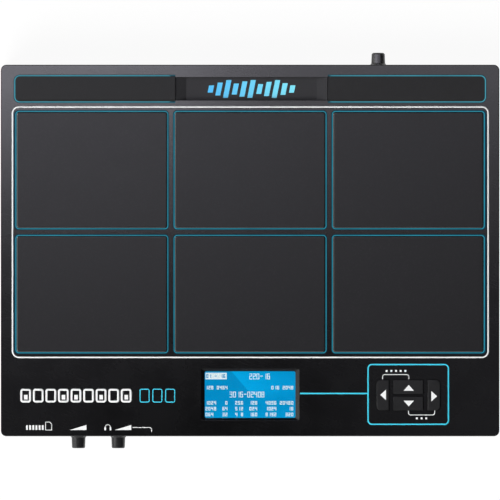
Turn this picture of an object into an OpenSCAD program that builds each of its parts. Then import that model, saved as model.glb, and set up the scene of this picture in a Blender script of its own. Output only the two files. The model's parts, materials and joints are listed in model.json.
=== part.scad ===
// Electronic percussion pad: six main pads, two rear edge strips, a display, four buttons and three knobs.
// Millimetres. X runs to the right, Y to the rear and Z up. The origin is under the middle, on the table.

/* [Pads] */
// Width of the rubber of one main pad
pad_w = 109.7; // [95:0.1:125]
// Depth of the rubber of one main pad, front to rear
pad_d = 84.6; // [72:0.1:98]
// Corner radius of the pad rubber
pad_r = 1.8; // [1:0.1:5]
// Space between two pads of a row
pad_gap_x = 5.5; // [5:0.1:8]
// Space between the two rows of pads
pad_gap_y = 5.7; // [5:0.1:8]
// Height of the main pads above the top of the case
pad_rise = 1; // [0.6:0.1:2.5]
// Stroke of a pad that is struck hard
pad_travel = 0.8; // [0.4:0.1:1.2]
// Thickness of the steel plate under each pad
pad_plate_t = 1.2; // [0.8:0.1:2]
// Width of the plate's rim around the rubber, which the light guide holds down
plate_flange = 1; // [0.8:0.1:1.3]
// Corner radius of the steel plates
plate_r = 5; // [4:0.1:8]
// Thickness of the foam when a pad is pressed right down
foam_pressed_t = 1.2; // [0.8:0.1:2]
// How far the foam lies inside the edge of the rubber
foam_inset = 3; // [2:0.5:8]
// Thickness of a force sensor film
sensor_t = 0.4; // [0.2:0.1:0.8]
// How far a force sensor film lies inside the edge of the foam
sensor_inset = 4; // [2:0.5:6]
// Thickness of the deck that carries the sensors
deck_t = 2; // [1.5:0.1:3]

/* [Edge strips] */
// Depth of a rear strip, front to rear
strip_d = 17.9; // [15:0.1:22]
// Height of the strips above the top of the case
strip_rise = 1.6; // [1:0.1:3]
// Width and height of the bevel along a strip's front edge
strip_bevel = 1.4; // [0.6:0.1:2]
// Corner radius at a strip's outer end
strip_r = 3; // [2:0.1:5]
// Space between the main pads and the strips
strip_gap = 7.9; // [7.8:0.1:12]
// How far a strip reaches past the outer edge of the main pads
strip_past = 0.7; // [-4:0.1:1]
// How far the foam lies inside the edge of a strip
strip_foam_inset = 1.5; // [1:0.1:2.4]
// Depth of the force sensor film under a strip
strip_sensor_d = 7.5; // [4:0.5:12]

/* [Case] */
// Distance from the main pads to the side of the case
side_margin = 11.45; // [11:0.05:16]
// Distance from the main pads to the front of the case
front_panel_d = 61.2; // [57:0.1:75]
// Distance from the strips to the rear of the case
rear_margin = 8.6; // [8.2:0.1:12]
// Height of the case without its feet
case_h = 46; // [42:0.5:60]
// Height of the upper shell
top_shell_h = 16; // [14:0.5:17]
// Corner radius of the case seen from above
case_r = 4; // [3:0.1:6]
// Thickness of the side walls
wall = 2.5; // [2:0.1:3]
// Thickness of the top
top_t = 3; // [2.6:0.1:4]
// Thickness of the floor
floor_t = 2.5; // [2:0.1:3.5]
// Height of the lip that centres the two shells
lip_h = 2; // [1:0.1:3]
// Thickness of that lip
lip_t = 1.2; // [0.8:0.1:1.5]

/* [Light guides] */
// Width of the gap between a pad and the case, which the glowing rim fills
glow_line = 1.3; // [1.1:0.05:1.4]
// Extra width of that gap along the left and right sides of the pad field
glow_side_extra = 0.7; // [0:0.1:1]
// Distance from the top of the glowing rim to the top of the case
glow_drop = 0.4; // [0.2:0.1:1]
// Thickness of the light guide plates
guide_t = 2; // [1.5:0.1:3]
// How far the light guide plates reach under the case top
guide_flange = 2.2; // [1.6:0.1:2.3]
// Height of a light source
led_h = 1; // [0.6:0.1:1.4]

/* [Badge tray] */
// Width of the tray between the strips
badge_w = 110.6; // [100:0.1:120]
// How far the middle of the tray lies to the right of the middle of the case
badge_right = 1.1; // [0:0.1:1.5]
// Depth of the tray, front to rear
badge_d = 16.8; // [14:0.1:18]
// Depth of the tray below the top of the case
badge_sink = 3.2; // [2:0.1:4]
// Length of the slope at each end of the tray
badge_slope = 8; // [4:0.1:12]
// Thickness of the tray's floor
badge_t = 1.4; // [1:0.1:2]
// How far the tray's rims reach under the case top
badge_rim = 1.4; // [1:0.1:1.6]

/* [Display] */
// Width of the lit area
lcd_w = 66; // [56:0.1:74]
// Depth of the lit area
lcd_d = 33.8; // [28:0.1:37]
// Width of the sloped edge at the left and right of the display
lcd_bevel_x = 2.9; // [1:0.1:4]
// Width of the sloped edge at the front and rear of the display
lcd_bevel_y = 2; // [1:0.1:3]
// Height of the sloped edges
lcd_bevel_h = 2; // [1:0.1:2.4]
// Distance from the front of the case to the middle of the display
panel_front = 30.35; // [29.5:0.05:34]
// Thickness of the clear window
window_t = 1.5; // [1:0.1:2]
// How far the window reaches under the case top
window_rim = 3; // [2:0.1:4]
// Thickness of the display panel
panel_t = 3.5; // [2.5:0.1:4.5]

/* [Buttons] */
// Width of the left and right buttons
side_button_w = 8.9; // [7:0.1:12]
// Width of the up and down buttons
mid_button_w = 21.5; // [16:0.1:26]
// Depth of the button group
button_group_d = 21.9; // [18:0.1:26]
// Space between the buttons, sideways
button_gap_x = 3.4; // [2.4:0.1:5]
// Space between the up and down buttons
button_gap_y = 2; // [2:0.1:4]
// How far the middle of the buttons lies in front of the middle of the display
button_low = 0.5; // [0:0.1:1.5]
// Radius of the outer corners of the side buttons
button_r = 3; // [1:0.1:4]
// Height of the buttons above the case
button_rise = 1.2; // [1.1:0.1:2]
// Stroke of a button
button_travel = 1; // [0.5:0.1:1]
// Width of the flange that keeps a button in
button_flange = 0.7; // [0.5:0.05:0.9]
// Thickness of that flange
button_flange_t = 1.5; // [1:0.1:2]
// Length of the stem under a button
button_stem_l = 1.9; // [1.5:0.1:3]
// Width of that stem
button_stem_w = 5; // [3:0.1:6]
// Height of a push switch
switch_h = 1.8; // [1.2:0.1:2.5]
// Width of a push switch
switch_side = 6; // [4:0.1:7]

/* [Knobs] */
// Diameter of a knob at its root
knob_root_d = 10.1; // [9:0.1:12]
// Diameter of a knob at its tip
knob_tip_d = 9.6; // [8:0.1:10]
// Diameter of the skirt at a knob's root
knob_skirt_d = 11.4; // [10.4:0.1:14]
// Height of that skirt
knob_skirt_h = 0.9; // [0.4:0.1:1.5]
// Radius of the rounded tip
knob_tip_r = 1; // [0.6:0.1:2.2]
// Distance from the case to the tip of a knob
knob_reach = 9; // [7:0.1:12]
// Thickness of a knob's end
knob_end_t = 1.8; // [1.2:0.1:2.5]
// Diameter of a control's shaft
shaft_d = 6; // [5:0.1:6.6]
// Width of a potentiometer
pot_w = 17; // [14:0.1:18]
// Length of a potentiometer behind the wall
pot_l = 12; // [9:0.1:16]
// Space between the corner column and the card holder
card_to_column = 2.6; // [1:0.1:5]
// Space between the card slot and the first knob's control
card_to_knob = 6.7; // [4:0.1:9]
// Space between the two front controls
knob_to_knob = 12; // [8:0.1:14]
// Space between the second front control and the headphone jack
knob_to_jack = 8; // [5:0.1:10]
// Space between the headphone jack and the next screw column
jack_to_column = 1.3; // [1:0.1:4]

/* [Sockets] */
// Space between neighbouring sockets at the rear
socket_gap = 9.15; // [7:0.05:10.5]
// Height of the control and jack axes above the circuit boards
axis_h = 6.5; // [6:0.1:8]
// Width of a jack
jack_w = 16; // [14:0.1:17]
// Height of the jacks and controls
jack_h = 13; // [12.5:0.1:15]
// Length of a jack behind the wall
jack_l = 30; // [29:0.5:34]
// Diameter of a jack's bore, for a 6.35 mm plug
jack_bore = 6.5; // [6.4:0.05:6.9]
// Depth of a jack's bore
jack_depth = 28; // [26:0.5:28.5]
// Width of the MIDI socket
midi_w = 21; // [19:0.1:24]
// Height of the MIDI socket
midi_h = 20; // [18.5:0.1:20.5]
// Length of the MIDI socket
midi_l = 15; // [12:0.1:18]
// Radius of the ring slot for the MIDI plug's shell
midi_ring_r = 6.8; // [6.2:0.1:7.2]
// Width of the USB socket
usb_w = 12.5; // [11.5:0.1:14]
// Height of the USB socket
usb_h = 11; // [10:0.1:12.5]
// Length of the USB socket
usb_l = 16; // [13:0.1:19]
// Width and height of the power inlet
dc_w = 11; // [9.5:0.1:13]
// Length of the power inlet
dc_l = 14; // [12:0.1:16]
// Diameter of the power inlet's hole
dc_bore = 6.3; // [5.5:0.1:7]
// Diameter of the power inlet's pin
dc_pin = 2.1; // [1.7:0.1:2.5]
// Width of the power switch
power_w = 14; // [12:0.1:16]
// Length of the power switch
power_l = 18; // [15:0.1:22]
// Diameter of the power button
power_button_d = 8; // [6:0.1:10]
// Stroke of the power button
power_travel = 2.5; // [1.5:0.1:3]
// Width of the card holder
card_w = 28; // [26.5:0.1:30]
// Height of the card holder
card_h = 3.2; // [3:0.1:4]
// Depth of the card holder
card_l = 28; // [26:0.1:32]
// Width of a memory card
card_slot_w = 24.6; // [22:0.1:25]
// Thickness of the slot for a memory card
card_slot_t = 2.4; // [1.6:0.1:2.5]

/* [Circuit boards] */
// Thickness of the circuit boards
board_t = 1.6; // [1:0.1:2]
// Height of the posts under the main and front boards
standoff_h = 5.4; // [4:0.1:6.5]
// Radius of those posts
standoff_r = 2.8; // [2.2:0.1:3.5]
// Depth of the main board, front to rear
main_board_d = 70; // [55:0.5:85]
// Depth of the front board, front to rear
front_board_d = 42; // [40:0.5:50]
// Width of the ribbon cable
ribbon_w = 20; // [10:0.5:24]
// Thickness of the ribbon cable
ribbon_t = 1; // [0.6:0.1:1.4]

/* [Feet and fixings] */
// Diameter of a rubber foot
foot_d = 18; // [12:0.5:24]
// Height of a foot below the case
foot_h = 4; // [2:0.1:8]
// Depth of the recess that a foot is glued into
foot_recess = 1; // [0.5:0.1:1.2]
// Distance from the edges of the case to the middle of a foot
foot_inset = 31; // [22:0.5:40]
// Distance between the mounting inserts, left to right
mount_x = 100; // [75:1:110]
// Distance between the mounting inserts, front to rear
mount_y = 75; // [50:1:85]
// Diameter of the threaded hole of an insert
mount_hole_d = 4.2; // [3.2:0.1:5]
// Outer diameter of an insert
insert_d = 7; // [6.2:0.1:8]
// Length of an insert
insert_l = 8; // [6:0.1:12]
// Diameter of the case screws
case_screw_d = 3; // [2.4:0.1:3.2]
// Radius of the screw columns of the lower shell
column_r = 4.8; // [4.5:0.1:5.2]
// Radius of the screw bosses of the upper shell
boss_r = 3; // [2.8:0.1:3.2]
// Height of the solid end of a screw column, which the screw head pulls on
column_end_t = 8; // [5:0.5:12]
// How far a case screw reaches into the upper shell
case_screw_grip = 9; // [6:0.5:10]
// Distance from the rear bosses to the ends of the tray
boss_to_strip = 2.9; // [1:0.1:4]
// Diameter of the deck and board screws
small_screw_d = 2; // [1.6:0.1:2.2]
// How far a deck or board screw reaches into its boss
small_screw_grip = 3.4; // [2.4:0.1:3.8]
// Radius of the bosses for the deck and board screws
small_boss_r = 2.2; // [1.9:0.05:2.4]
// Distance from a board screw's boss to the edge of the board
board_edge = 2; // [1:0.1:3]

/* [Clearances] */
// Gap around a glowing rim, an insert or a foot in its seat
fit = 0.1; // [0.05:0.01:0.2]
// Gap around a screw's thread
screw_fit = 0.05; // [0.02:0.01:0.1]
// Gap between pieces that stand beside each other
apart = 0.3; // [0.2:0.05:0.4]
// Gap between a socket and the wall that it stands behind
seat = 0.2; // [0.1:0.05:0.5]
// Gap between a knob and the case
knob_gap = 0.4; // [0.3:0.1:1]
// Gap around a shaft in its control
shaft_fit = 0.15; // [0.05:0.05:0.3]
// Gap around a button in its opening
button_fit = 0.35; // [0.2:0.05:0.45]
// How far the wall openings reach beyond the holes of the sockets behind them
plug_room = 1; // [0.5:0.1:1.6]

/* [Hidden] */
$fn = 48;
corner_steps = 6; // straight steps in a rounded corner of a flat outline
cut = 1;          // how far a cutter runs past the face that it cuts

// Plan of the pad field and the case
pitch_x = pad_w + pad_gap_x;
pitch_y = pad_d + pad_gap_y;
grid_w = 3 * pad_w + 2 * pad_gap_x;
grid_d = 2 * pad_d + pad_gap_y;
case_w = grid_w + 2 * side_margin;
case_d = front_panel_d + grid_d + strip_gap + strip_d + rear_margin;
front_y = -case_d / 2;
rear_y = case_d / 2;
grid_y = front_y + front_panel_d + grid_d / 2;
strip_y = rear_y - rear_margin - strip_d / 2;
panel_y = front_y + panel_front;
tray_half_w = badge_w / 2 + apart;
strip_x1 = grid_w / 2 + strip_past;
function strip_x0(side) = tray_half_w + side * badge_right;
pad_places = [for (row = [0:1], column = [-1:1]) [column * pitch_x, grid_y + (0.5 - row) * pitch_y]];

// Heights, from the table up
z_base = foot_h;
z_floor = z_base + floor_t;
z_top = z_base + case_h;
z_under = z_top - top_t;
z_part = z_top - top_shell_h;
z_guide = z_under - guide_t;
z_plate = z_guide - pad_plate_t;
z_foam = z_plate - foam_pressed_t - pad_travel;
z_deck = z_foam - sensor_t;
z_glow = z_top - glow_drop;
z_window = z_under - window_t;
z_lcd_board = z_window - panel_t;
z_button_flange = z_under - button_flange_t;
z_stem = z_button_flange - button_stem_l;
z_switch = z_stem - button_travel - apart;
z_button_board = z_switch - switch_h;
z_board = z_floor + standoff_h + board_t;
z_axis = z_board + axis_h;
z_head = z_part - column_end_t;

// Screw columns and bosses
boss_in = wall + fit + fit + boss_r;
post_x = case_w / 2 - boss_in;
post_front = front_y + boss_in;
post_rear = rear_y - boss_in;
rear_post_x = badge_w / 2 - boss_r - boss_to_strip;
deck_front = grid_y - grid_d / 2 - glow_line - guide_flange;
deck_rear = strip_y + strip_d / 2 + glow_line + guide_flange;
deck_half_w = grid_w / 2 + glow_line + glow_side_extra + guide_flange;
deck_row_front = deck_front - apart - small_boss_r;
deck_row_rear = (grid_y + grid_d / 2 + strip_y - strip_d / 2) / 2;
deck_tab_r = small_boss_r + guide_flange;

// Row of sockets along the front, from the left
card_x = -post_x + column_r + card_to_column + card_w / 2;
knob_main_x = card_x + card_w / 2 + card_to_knob + pot_w / 2;
knob_phones_x = knob_main_x + pot_w + knob_to_knob;
phones_x = knob_phones_x + pot_w / 2 + knob_to_jack + jack_w / 2;
front_post_x = -phones_x - jack_w / 2 - column_r - jack_to_column;

// Row of sockets along the rear
usb_x = rear_post_x + column_r + socket_gap + usb_w / 2;
knob_rear_x = usb_x + usb_w / 2 + socket_gap + pot_w / 2;
power_x = knob_rear_x + pot_w / 2 + socket_gap + power_w / 2;
dc_x = power_x + power_w / 2 + socket_gap + dc_w / 2;
middle_w = 2 * jack_w + midi_w + 2 * socket_gap;
midi_x = middle_w / 2 - midi_w / 2;
trigger_xs = [-middle_w / 2 + jack_w / 2, -middle_w / 2 + jack_w * 1.5 + socket_gap];
output_x = -rear_post_x - column_r - socket_gap - jack_w / 2;
output_xs = [output_x - jack_w - socket_gap, output_x];
usb_z = z_board + usb_h / 2;
dc_z = z_board + dc_w / 2;
midi_z = z_board + midi_h / 2;
card_z = z_board + card_h / 2;
collar_r = jack_bore / 2 + plug_room - shaft_fit;
plug_depth = 10; // depth of the USB and power inlets
contact_in = 1;  // how far a tongue or pin ends inside its inlet's mouth

// Power button, seen along its own axis: it stands flush with the wall, and its stem slides in the switch
power_back = -power_travel - apart;
power_face = power_back - power_travel - apart;
power_stem = power_face - power_travel;
power_stem_r = 1.5;

case_posts = concat(
  [for (side = [-1, 1], y = [post_front, grid_y, post_rear]) [side * post_x, y]],
  [for (side = [-1, 1]) [side * front_post_x, post_front]],
  [for (side = [-1, 1]) [side * rear_post_x, post_rear]]
);
deck_posts = concat(
  [for (y = [deck_row_front, deck_row_rear], x = [-grid_w, -pitch_x, pitch_x, grid_w]) [x / 2, y]],
  [for (side = [-1, 1]) [side * pitch_x / 2, grid_y]]
);

// Boards and their screws
window_w = lcd_w + 2 * window_rim;
window_d = lcd_d + 2 * window_rim;
lcd_post_x = window_w / 2 + apart + small_boss_r;
lcd_post_y = lcd_d / 3;
lcd_board_w = 2 * (lcd_post_x + small_boss_r + apart);
group_w = mid_button_w + 2 * (button_gap_x + side_button_w);
group_x = pitch_x;
group_y = panel_y - button_low;
button_post_x = group_w / 2 + button_flange + apart + small_boss_r;
button_post_y = button_group_d / 4;
button_board_w = 2 * (button_post_x + small_boss_r + apart);
lcd_posts = [for (sx = [-1, 1], sy = [-1, 1])
  [sx * lcd_post_x, panel_y + sy * lcd_post_y]];
button_posts = [for (sx = [-1, 1], sy = [-1, 1])
  [group_x + sx * button_post_x, group_y + sy * button_post_y]];
// Places of the small bosses under the top, with the height of their lower ends
small_post_groups = [[deck_posts, z_deck], [lcd_posts, z_lcd_board], [button_posts, z_button_board]];
post_margin = small_boss_r + board_edge;
front_x0 = card_x - card_w / 2 - apart;
front_x1 = phones_x + jack_w / 2 + apart;
front_front = front_y + wall + apart;
front_rear = front_front + front_board_d;
front_posts = [for (x = [front_x0 + post_margin, knob_main_x, front_x1 - post_margin])
  [x, front_rear - post_margin]];

// The ribbon runs between two screws of the front board and meets the main board in front of its screws
header_d = 6;
header_h = 5;
header_over = 2;     // how far a header reaches past the cable on each side
ribbon_straight = 1; // length of the cable that leaves a header level
ribbon_x = (knob_main_x + front_x1 - post_margin) / 2;
main_x0 = min(
  output_xs[0] - jack_w / 2 - 2 * post_margin,
  ribbon_x - ribbon_w / 2 - header_over - board_edge
);
main_x1 = dc_x + dc_w / 2 + 2 * post_margin;
main_rear = rear_y - wall - apart;
main_front = main_rear - main_board_d;
main_posts = concat(
  [for (x = [main_x0 + post_margin, -rear_post_x, rear_post_x, main_x1 - post_margin])
    [x, main_front + header_d + post_margin]],
  [for (x = [main_x0 + post_margin, main_x1 - post_margin]) [x, main_rear - 2 * post_margin]]
);
mount_places = [for (sx = [-1, 1], sy = [-1, 1]) [sx * mount_x / 2, sy * mount_y / 2]];
foot_places = [for (sx = [-1, 1], sy = [-1, 1])
  [sx * (case_w / 2 - foot_inset), sy * (case_d / 2 - foot_inset)]];

// Fasteners
head_r = case_screw_d * 0.95;
head_h = case_screw_d * 0.8;
head_room = 0.3; // room around a sunk screw head
case_screw_l = column_end_t + case_screw_grip;
small_head_r = small_screw_d * 0.9;
small_head_h = small_screw_d * 0.65;

// Flat outlines

function corner_arc(x, y, r, from) =
  [for (i = [0:corner_steps]) let (a = from + 90 * i / corner_steps) [x + r * cos(a), y + r * sin(a)]];

function round_rect(w, d, r) = concat(
  corner_arc(w / 2 - r, d / 2 - r, r, 0),
  corner_arc(r - w / 2, d / 2 - r, r, 90),
  corner_arc(r - w / 2, r - d / 2, r, 180),
  corner_arc(w / 2 - r, r - d / 2, r, 270)
);

// A rectangle from x0 to x1 whose two corners at x1 are round
function end_rounded(x0, x1, d, r) = concat(
  [[x0, -d / 2]],
  corner_arc(x1 - r, r - d / 2, r, 270),
  corner_arc(x1 - r, d / 2 - r, r, 0),
  [[x0, d / 2]]
);

// Building blocks

module slab(w, d, r, z0, z1, at = [0, 0]) {
  translate([at.x, at.y, z0])
    linear_extrude(z1 - z0)
      polygon(round_rect(w, d, r));
}

module block(w, d, z0, z1, at = [0, 0]) {
  translate([at.x - w / 2, at.y - d / 2, z0])
    cube([w, d, z1 - z0]);
}

module posts(places, r, z0, z1) {
  for (place = places)
    translate([place.x, place.y, z0])
      cylinder(r = r, h = z1 - z0);
}

// A flat outline of Y and Z, drawn out along X
module along_x(x0, x1) {
  translate([x0, 0, 0])
    rotate([90, 0, 90])
      linear_extrude(x1 - x0)
        children();
}

// A flat outline of X and Z, drawn out along Y
module along_y(y0, y1) {
  translate([0, y1, 0])
    rotate([90, 0, 0])
      linear_extrude(y1 - y0)
        children();
}

// Places a socket at the inner face of the front wall, with its Z pointing out of the case
module on_front(x, z) {
  translate([x, front_y + wall, z])
    rotate([90, 0, 0])
      children();
}

// The same at the rear wall
module on_rear(x, z) {
  translate([x, rear_y - wall, z])
    rotate([90, 0, 180])
      children();
}

// Seen along a socket's own Z: a housing of width w from y0 to y0 + h that reaches l behind the wall
module housing(w, h, l, y0) {
  translate([-w / 2, y0, -seat - l])
    cube([w, h, l]);
}

// Seen along a socket's own Z: a round cutter or pin from z0 to z1
module rod(r, z0, z1) {
  translate([0, 0, z0])
    cylinder(r = r, h = z1 - z0);
}

// The case

// Opening for pad i, grown or shrunk by a clearance
module pad_hole(i, grow, z0, z1) {
  side = sign(pad_places[i].x);
  extra = abs(side) * glow_side_extra;
  slab(
    pad_w + 2 * (glow_line + grow) + extra,
    pad_d + 2 * (glow_line + grow),
    pad_r + glow_line + grow,
    z0, z1,
    pad_places[i] + [side * extra / 2, 0]
  );
}

// A strip's outline at the side given, grown by one distance, and shortened by another at the tray's end
module strip_shape(side, grow, z0, z1, shorter = 0) {
  x0 = strip_x0(side) + shorter;
  translate([0, strip_y, z0])
    mirror([side < 0 ? 1 : 0, 0, 0])
      linear_extrude(z1 - z0)
        polygon(end_rounded(x0, strip_x1 + grow, strip_d + 2 * grow, max(strip_r + grow, fit)));
}

// A strip of half width x at z0 that has grown by the slope on each side at z1
function widening(x, slope, z0, z1) = [[-x, z0], [x, z0], [x + slope, z1], [-x - slope, z1]];

// Funnel of the display opening, from the lit area up to the sloped edge
module lcd_funnel() {
  z_slope = z_top - lcd_bevel_h;
  rise = lcd_bevel_h + cut;
  slope_x = lcd_bevel_x * rise / lcd_bevel_h;
  slope_y = lcd_bevel_y * rise / lcd_bevel_h;
  translate([0, panel_y, 0]) {
    block(lcd_w, lcd_d, z_under - cut, z_slope + cut / 4);
    intersection() {
      along_y(-lcd_d, lcd_d)
        polygon(widening(lcd_w / 2, slope_x, z_slope, z_slope + rise));
      along_x(-lcd_w, lcd_w)
        polygon(widening(lcd_d / 2, slope_y, z_slope, z_slope + rise));
    }
  }
}

module top_case() {
  color("#2b2b2e")
    difference() {
      union() {
        difference() {
          slab(case_w, case_d, case_r, z_part, z_top);
          slab(case_w - 2 * wall, case_d - 2 * wall, case_r - wall / 2, z_part - cut, z_under);
          slab(
            case_w - 2 * (wall - lip_t - fit), case_d - 2 * (wall - lip_t - fit), case_r,
            z_part - cut, z_part + lip_h + fit
          );
        }
        posts(case_posts, boss_r, z_part, z_under + cut / 4);
        for (group = small_post_groups)
          posts(group[0], small_boss_r, group[1], z_under + cut / 4);
      }
      for (i = [0:5])
        pad_hole(i, 0, z_under - cut, z_top + cut);
      for (side = [-1, 1])
        strip_shape(side, glow_line, z_under - cut, z_top + cut);
      block(2 * tray_half_w + cut, badge_d + 2 * fit, z_under - cut, z_top + cut, [badge_right, strip_y]);
      lcd_funnel();
      for (name = ["left", "right", "up", "down"])
        button_shape(name, button_fit, z_under - cut, z_top + cut);
      midi_opening();
      posts(case_posts, case_screw_d / 2 + screw_fit, z_part - cut, z_head + case_screw_l + cut);
      for (group = small_post_groups)
        posts(group[0], small_screw_d / 2 + screw_fit, group[1] - cut, group[1] + small_screw_grip);
    }
}

// Openings of the front and rear walls
module wall_openings() {
  for (x = [knob_main_x, knob_phones_x])
    on_front(x, z_axis)
      rod(shaft_d / 2 + 2 * apart, -cut, wall + cut);
  on_front(phones_x, z_axis)
    rod(jack_bore / 2 + plug_room, -cut, wall + cut);
  on_front(card_x, card_z)
    block(card_slot_w + 2 * plug_room, card_slot_t + plug_room, -cut, wall + cut);
  for (x = concat(trigger_xs, output_xs))
    on_rear(x, z_axis)
      rod(jack_bore / 2 + plug_room, -cut, wall + cut);
  on_rear(knob_rear_x, z_axis)
    rod(shaft_d / 2 + 2 * apart, -cut, wall + cut);
  on_rear(power_x, z_axis)
    rod(power_button_d / 2 + apart, -cut, wall + cut);
  on_rear(usb_x, usb_z)
    block(usb_w - plug_room, usb_h - plug_room, -cut, wall + cut);
  on_rear(dc_x, dc_z)
    rod(dc_bore / 2 + plug_room, -cut, wall + cut);
  midi_opening();
}

// The tallest opening, which may reach up to the upper shell
module midi_opening() {
  on_rear(midi_x, midi_z)
    rod(midi_ring_r + 2 * plug_room, -cut, wall + cut);
}

module bottom_case() {
  color("#1f1f21")
    difference() {
      union() {
        difference() {
          slab(case_w, case_d, case_r, z_base, z_part);
          slab(case_w - 2 * wall, case_d - 2 * wall, case_r - wall / 2, z_floor, z_part + cut);
        }
        difference() {
          slab(
            case_w - 2 * (wall - lip_t), case_d - 2 * (wall - lip_t), case_r,
            z_part - cut, z_part + lip_h
          );
          slab(
            case_w - 2 * wall, case_d - 2 * wall, case_r - wall / 2,
            z_part - 2 * cut, z_part + lip_h + cut
          );
        }
        posts(case_posts, column_r, z_base + floor_t / 2, z_part);
        posts(concat(main_posts, front_posts), standoff_r, z_floor - cut, z_board - board_t);
        posts(mount_places, insert_d / 2 + wall, z_floor - cut, z_base + insert_l + floor_t);
        posts(foot_places, foot_d / 2 + wall, z_floor - cut, z_floor + foot_recess);
      }
      posts(case_posts, head_r + head_room, z_base - cut, z_head);
      posts(case_posts, case_screw_d / 2 + 2 * fit, z_head - cut, z_part + cut);
      posts(concat(main_posts, front_posts), small_screw_d / 2 + screw_fit,
        z_board - board_t - small_screw_grip, z_board);
      posts(mount_places, insert_d / 2 + screw_fit, z_base - cut, z_base + insert_l);
      posts(foot_places, foot_d / 2 + fit, z_base - cut, z_base + foot_recess);
      wall_openings();
    }
}

// Room that the bosses of the upper shell need in the pieces below it
module boss_room() {
  posts(case_posts, boss_r + apart, z_part, z_under + cut);
  posts(deck_posts, small_boss_r + apart, z_deck, z_under + cut);
}

module badge_plate() {
  x = badge_w / 2;
  z_low = z_top - badge_sink;
  z_brim = z_top - apart;
  color("#303033")
    difference() {
      translate([badge_right, strip_y, 0]) {
        along_y(-badge_d / 2, badge_d / 2)
          polygon([
            [-x, z_low - badge_t], [x, z_low - badge_t], [x, z_brim], [x - apart, z_brim],
            [x - badge_slope, z_low], [badge_slope - x, z_low], [apart - x, z_brim], [-x, z_brim]
          ]);
        for (side = [-1, 1])
          block(badge_w, badge_rim, z_low - badge_t, z_under, [0, side * (badge_d + badge_rim) / 2]);
      }
      boss_room();
    }
}

// Light guides

module pad_light_guide() {
  color("#3f7d8c")
    difference() {
      union() {
        slab(
          2 * deck_half_w, grid_d + 2 * (glow_line + guide_flange), strip_r,
          z_guide, z_under, [0, grid_y]
        );
        for (i = [0:5])
          pad_hole(i, -fit, z_under - cut, z_glow);
      }
      for (place = pad_places)
        slab(pad_w + 2 * apart, pad_d + 2 * apart, pad_r + apart, z_guide - cut, z_top, place);
      boss_room();
    }
}

module edge_light_guides() {
  color("#4f8b9a")
    for (side = [-1, 1])
      difference() {
        union() {
          strip_shape(side, glow_line + guide_flange, z_guide, z_under);
          strip_shape(side, glow_line - fit, z_under - cut, z_glow);
        }
        strip_shape(side, apart, z_guide - cut, z_top, -cut);
        boss_room();
      }
}

// Pads, from the rubber down to the sensors

module pad(i) {
  color("#3c3c3f")
    slab(pad_w, pad_d, pad_r, z_guide, z_top + pad_rise, pad_places[i]);
}

module pad_plate(i) {
  color("#9a9da1")
    slab(pad_w + 2 * plate_flange, pad_d + 2 * plate_flange, plate_r, z_plate, z_guide, pad_places[i]);
}

module edge_pad(side) {
  z_face = z_top + strip_rise;
  y = strip_d / 2;
  color("#363638")
    intersection() {
      strip_shape(side, 0, z_guide, z_face);
      translate([0, strip_y, 0])
        along_x(-strip_x1 - cut, strip_x1 + cut)
          polygon([
            [-y, z_guide], [y, z_guide], [y, z_face],
            [strip_bevel - y, z_face], [-y, z_face - strip_bevel]
          ]);
    }
}

module edge_plate(side) {
  color("#9a9da1")
    strip_shape(side, plate_flange, z_plate, z_guide);
}

module pad_foam() {
  color("#55565a") {
    for (place = pad_places)
      slab(pad_w - 2 * foam_inset, pad_d - 2 * foam_inset, pad_r, z_foam, z_plate, place);
    for (side = [-1, 1])
      strip_shape(side, -strip_foam_inset, z_foam, z_plate, strip_foam_inset);
  }
}

module force_sensors() {
  inset = foam_inset + sensor_inset;
  color("#c89b4a") {
    for (place = pad_places)
      slab(pad_w - 2 * inset, pad_d - 2 * inset, pad_r, z_deck, z_foam, place);
    for (side = [-1, 1])
      block(
        strip_x1 - strip_x0(side) - 2 * inset, strip_sensor_d, z_deck, z_foam,
        [side * (strip_x0(side) + strip_x1) / 2, strip_y]
      );
  }
}

module sensor_deck() {
  color("#6d7176")
    difference() {
      union() {
        translate([-deck_half_w, deck_front, z_deck - deck_t])
          cube([2 * deck_half_w, deck_rear - deck_front, deck_t]);
        posts([for (p = deck_posts) if (p.y < deck_front) p], deck_tab_r, z_deck - deck_t, z_deck);
      }
      posts(case_posts, boss_r + apart, z_part, z_under);
      posts(deck_posts, small_screw_d / 2 + fit, z_deck - deck_t - cut, z_deck + cut);
    }
}

module glow_leds() {
  led_w = pad_gap_x / 4;
  led_l = 2 * led_w;
  color("#dfe9ea") {
    for (side = [-1, 1], row = [-1, 1])
      block(led_w, led_l, z_deck, z_deck + led_h, [side * pitch_x / 2, grid_y + row * pitch_y / 2]);
    for (column = [-1:1])
      block(led_l, led_w, z_deck, z_deck + led_h, [column * pitch_x, grid_y]);
    for (column = [-1, 1])
      block(led_l, led_w, z_deck, z_deck + led_h, [column * pitch_x, deck_row_rear]);
  }
}

// Display

module display_window() {
  color("#5fc0ea", 0.6)
    block(window_w, window_d, z_window, z_under, [0, panel_y]);
}

module display_panel() {
  color("#0a94d6")
    block(lcd_w + window_rim, lcd_d + window_rim, z_lcd_board, z_window, [0, panel_y]);
}

module display_board() {
  color("#1f5a35")
    difference() {
      block(lcd_board_w, window_d, z_lcd_board - board_t, z_lcd_board, [0, panel_y]);
      posts(lcd_posts, small_screw_d / 2 + fit, z_lcd_board - board_t - cut, z_lcd_board + cut);
    }
}

// Buttons

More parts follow.
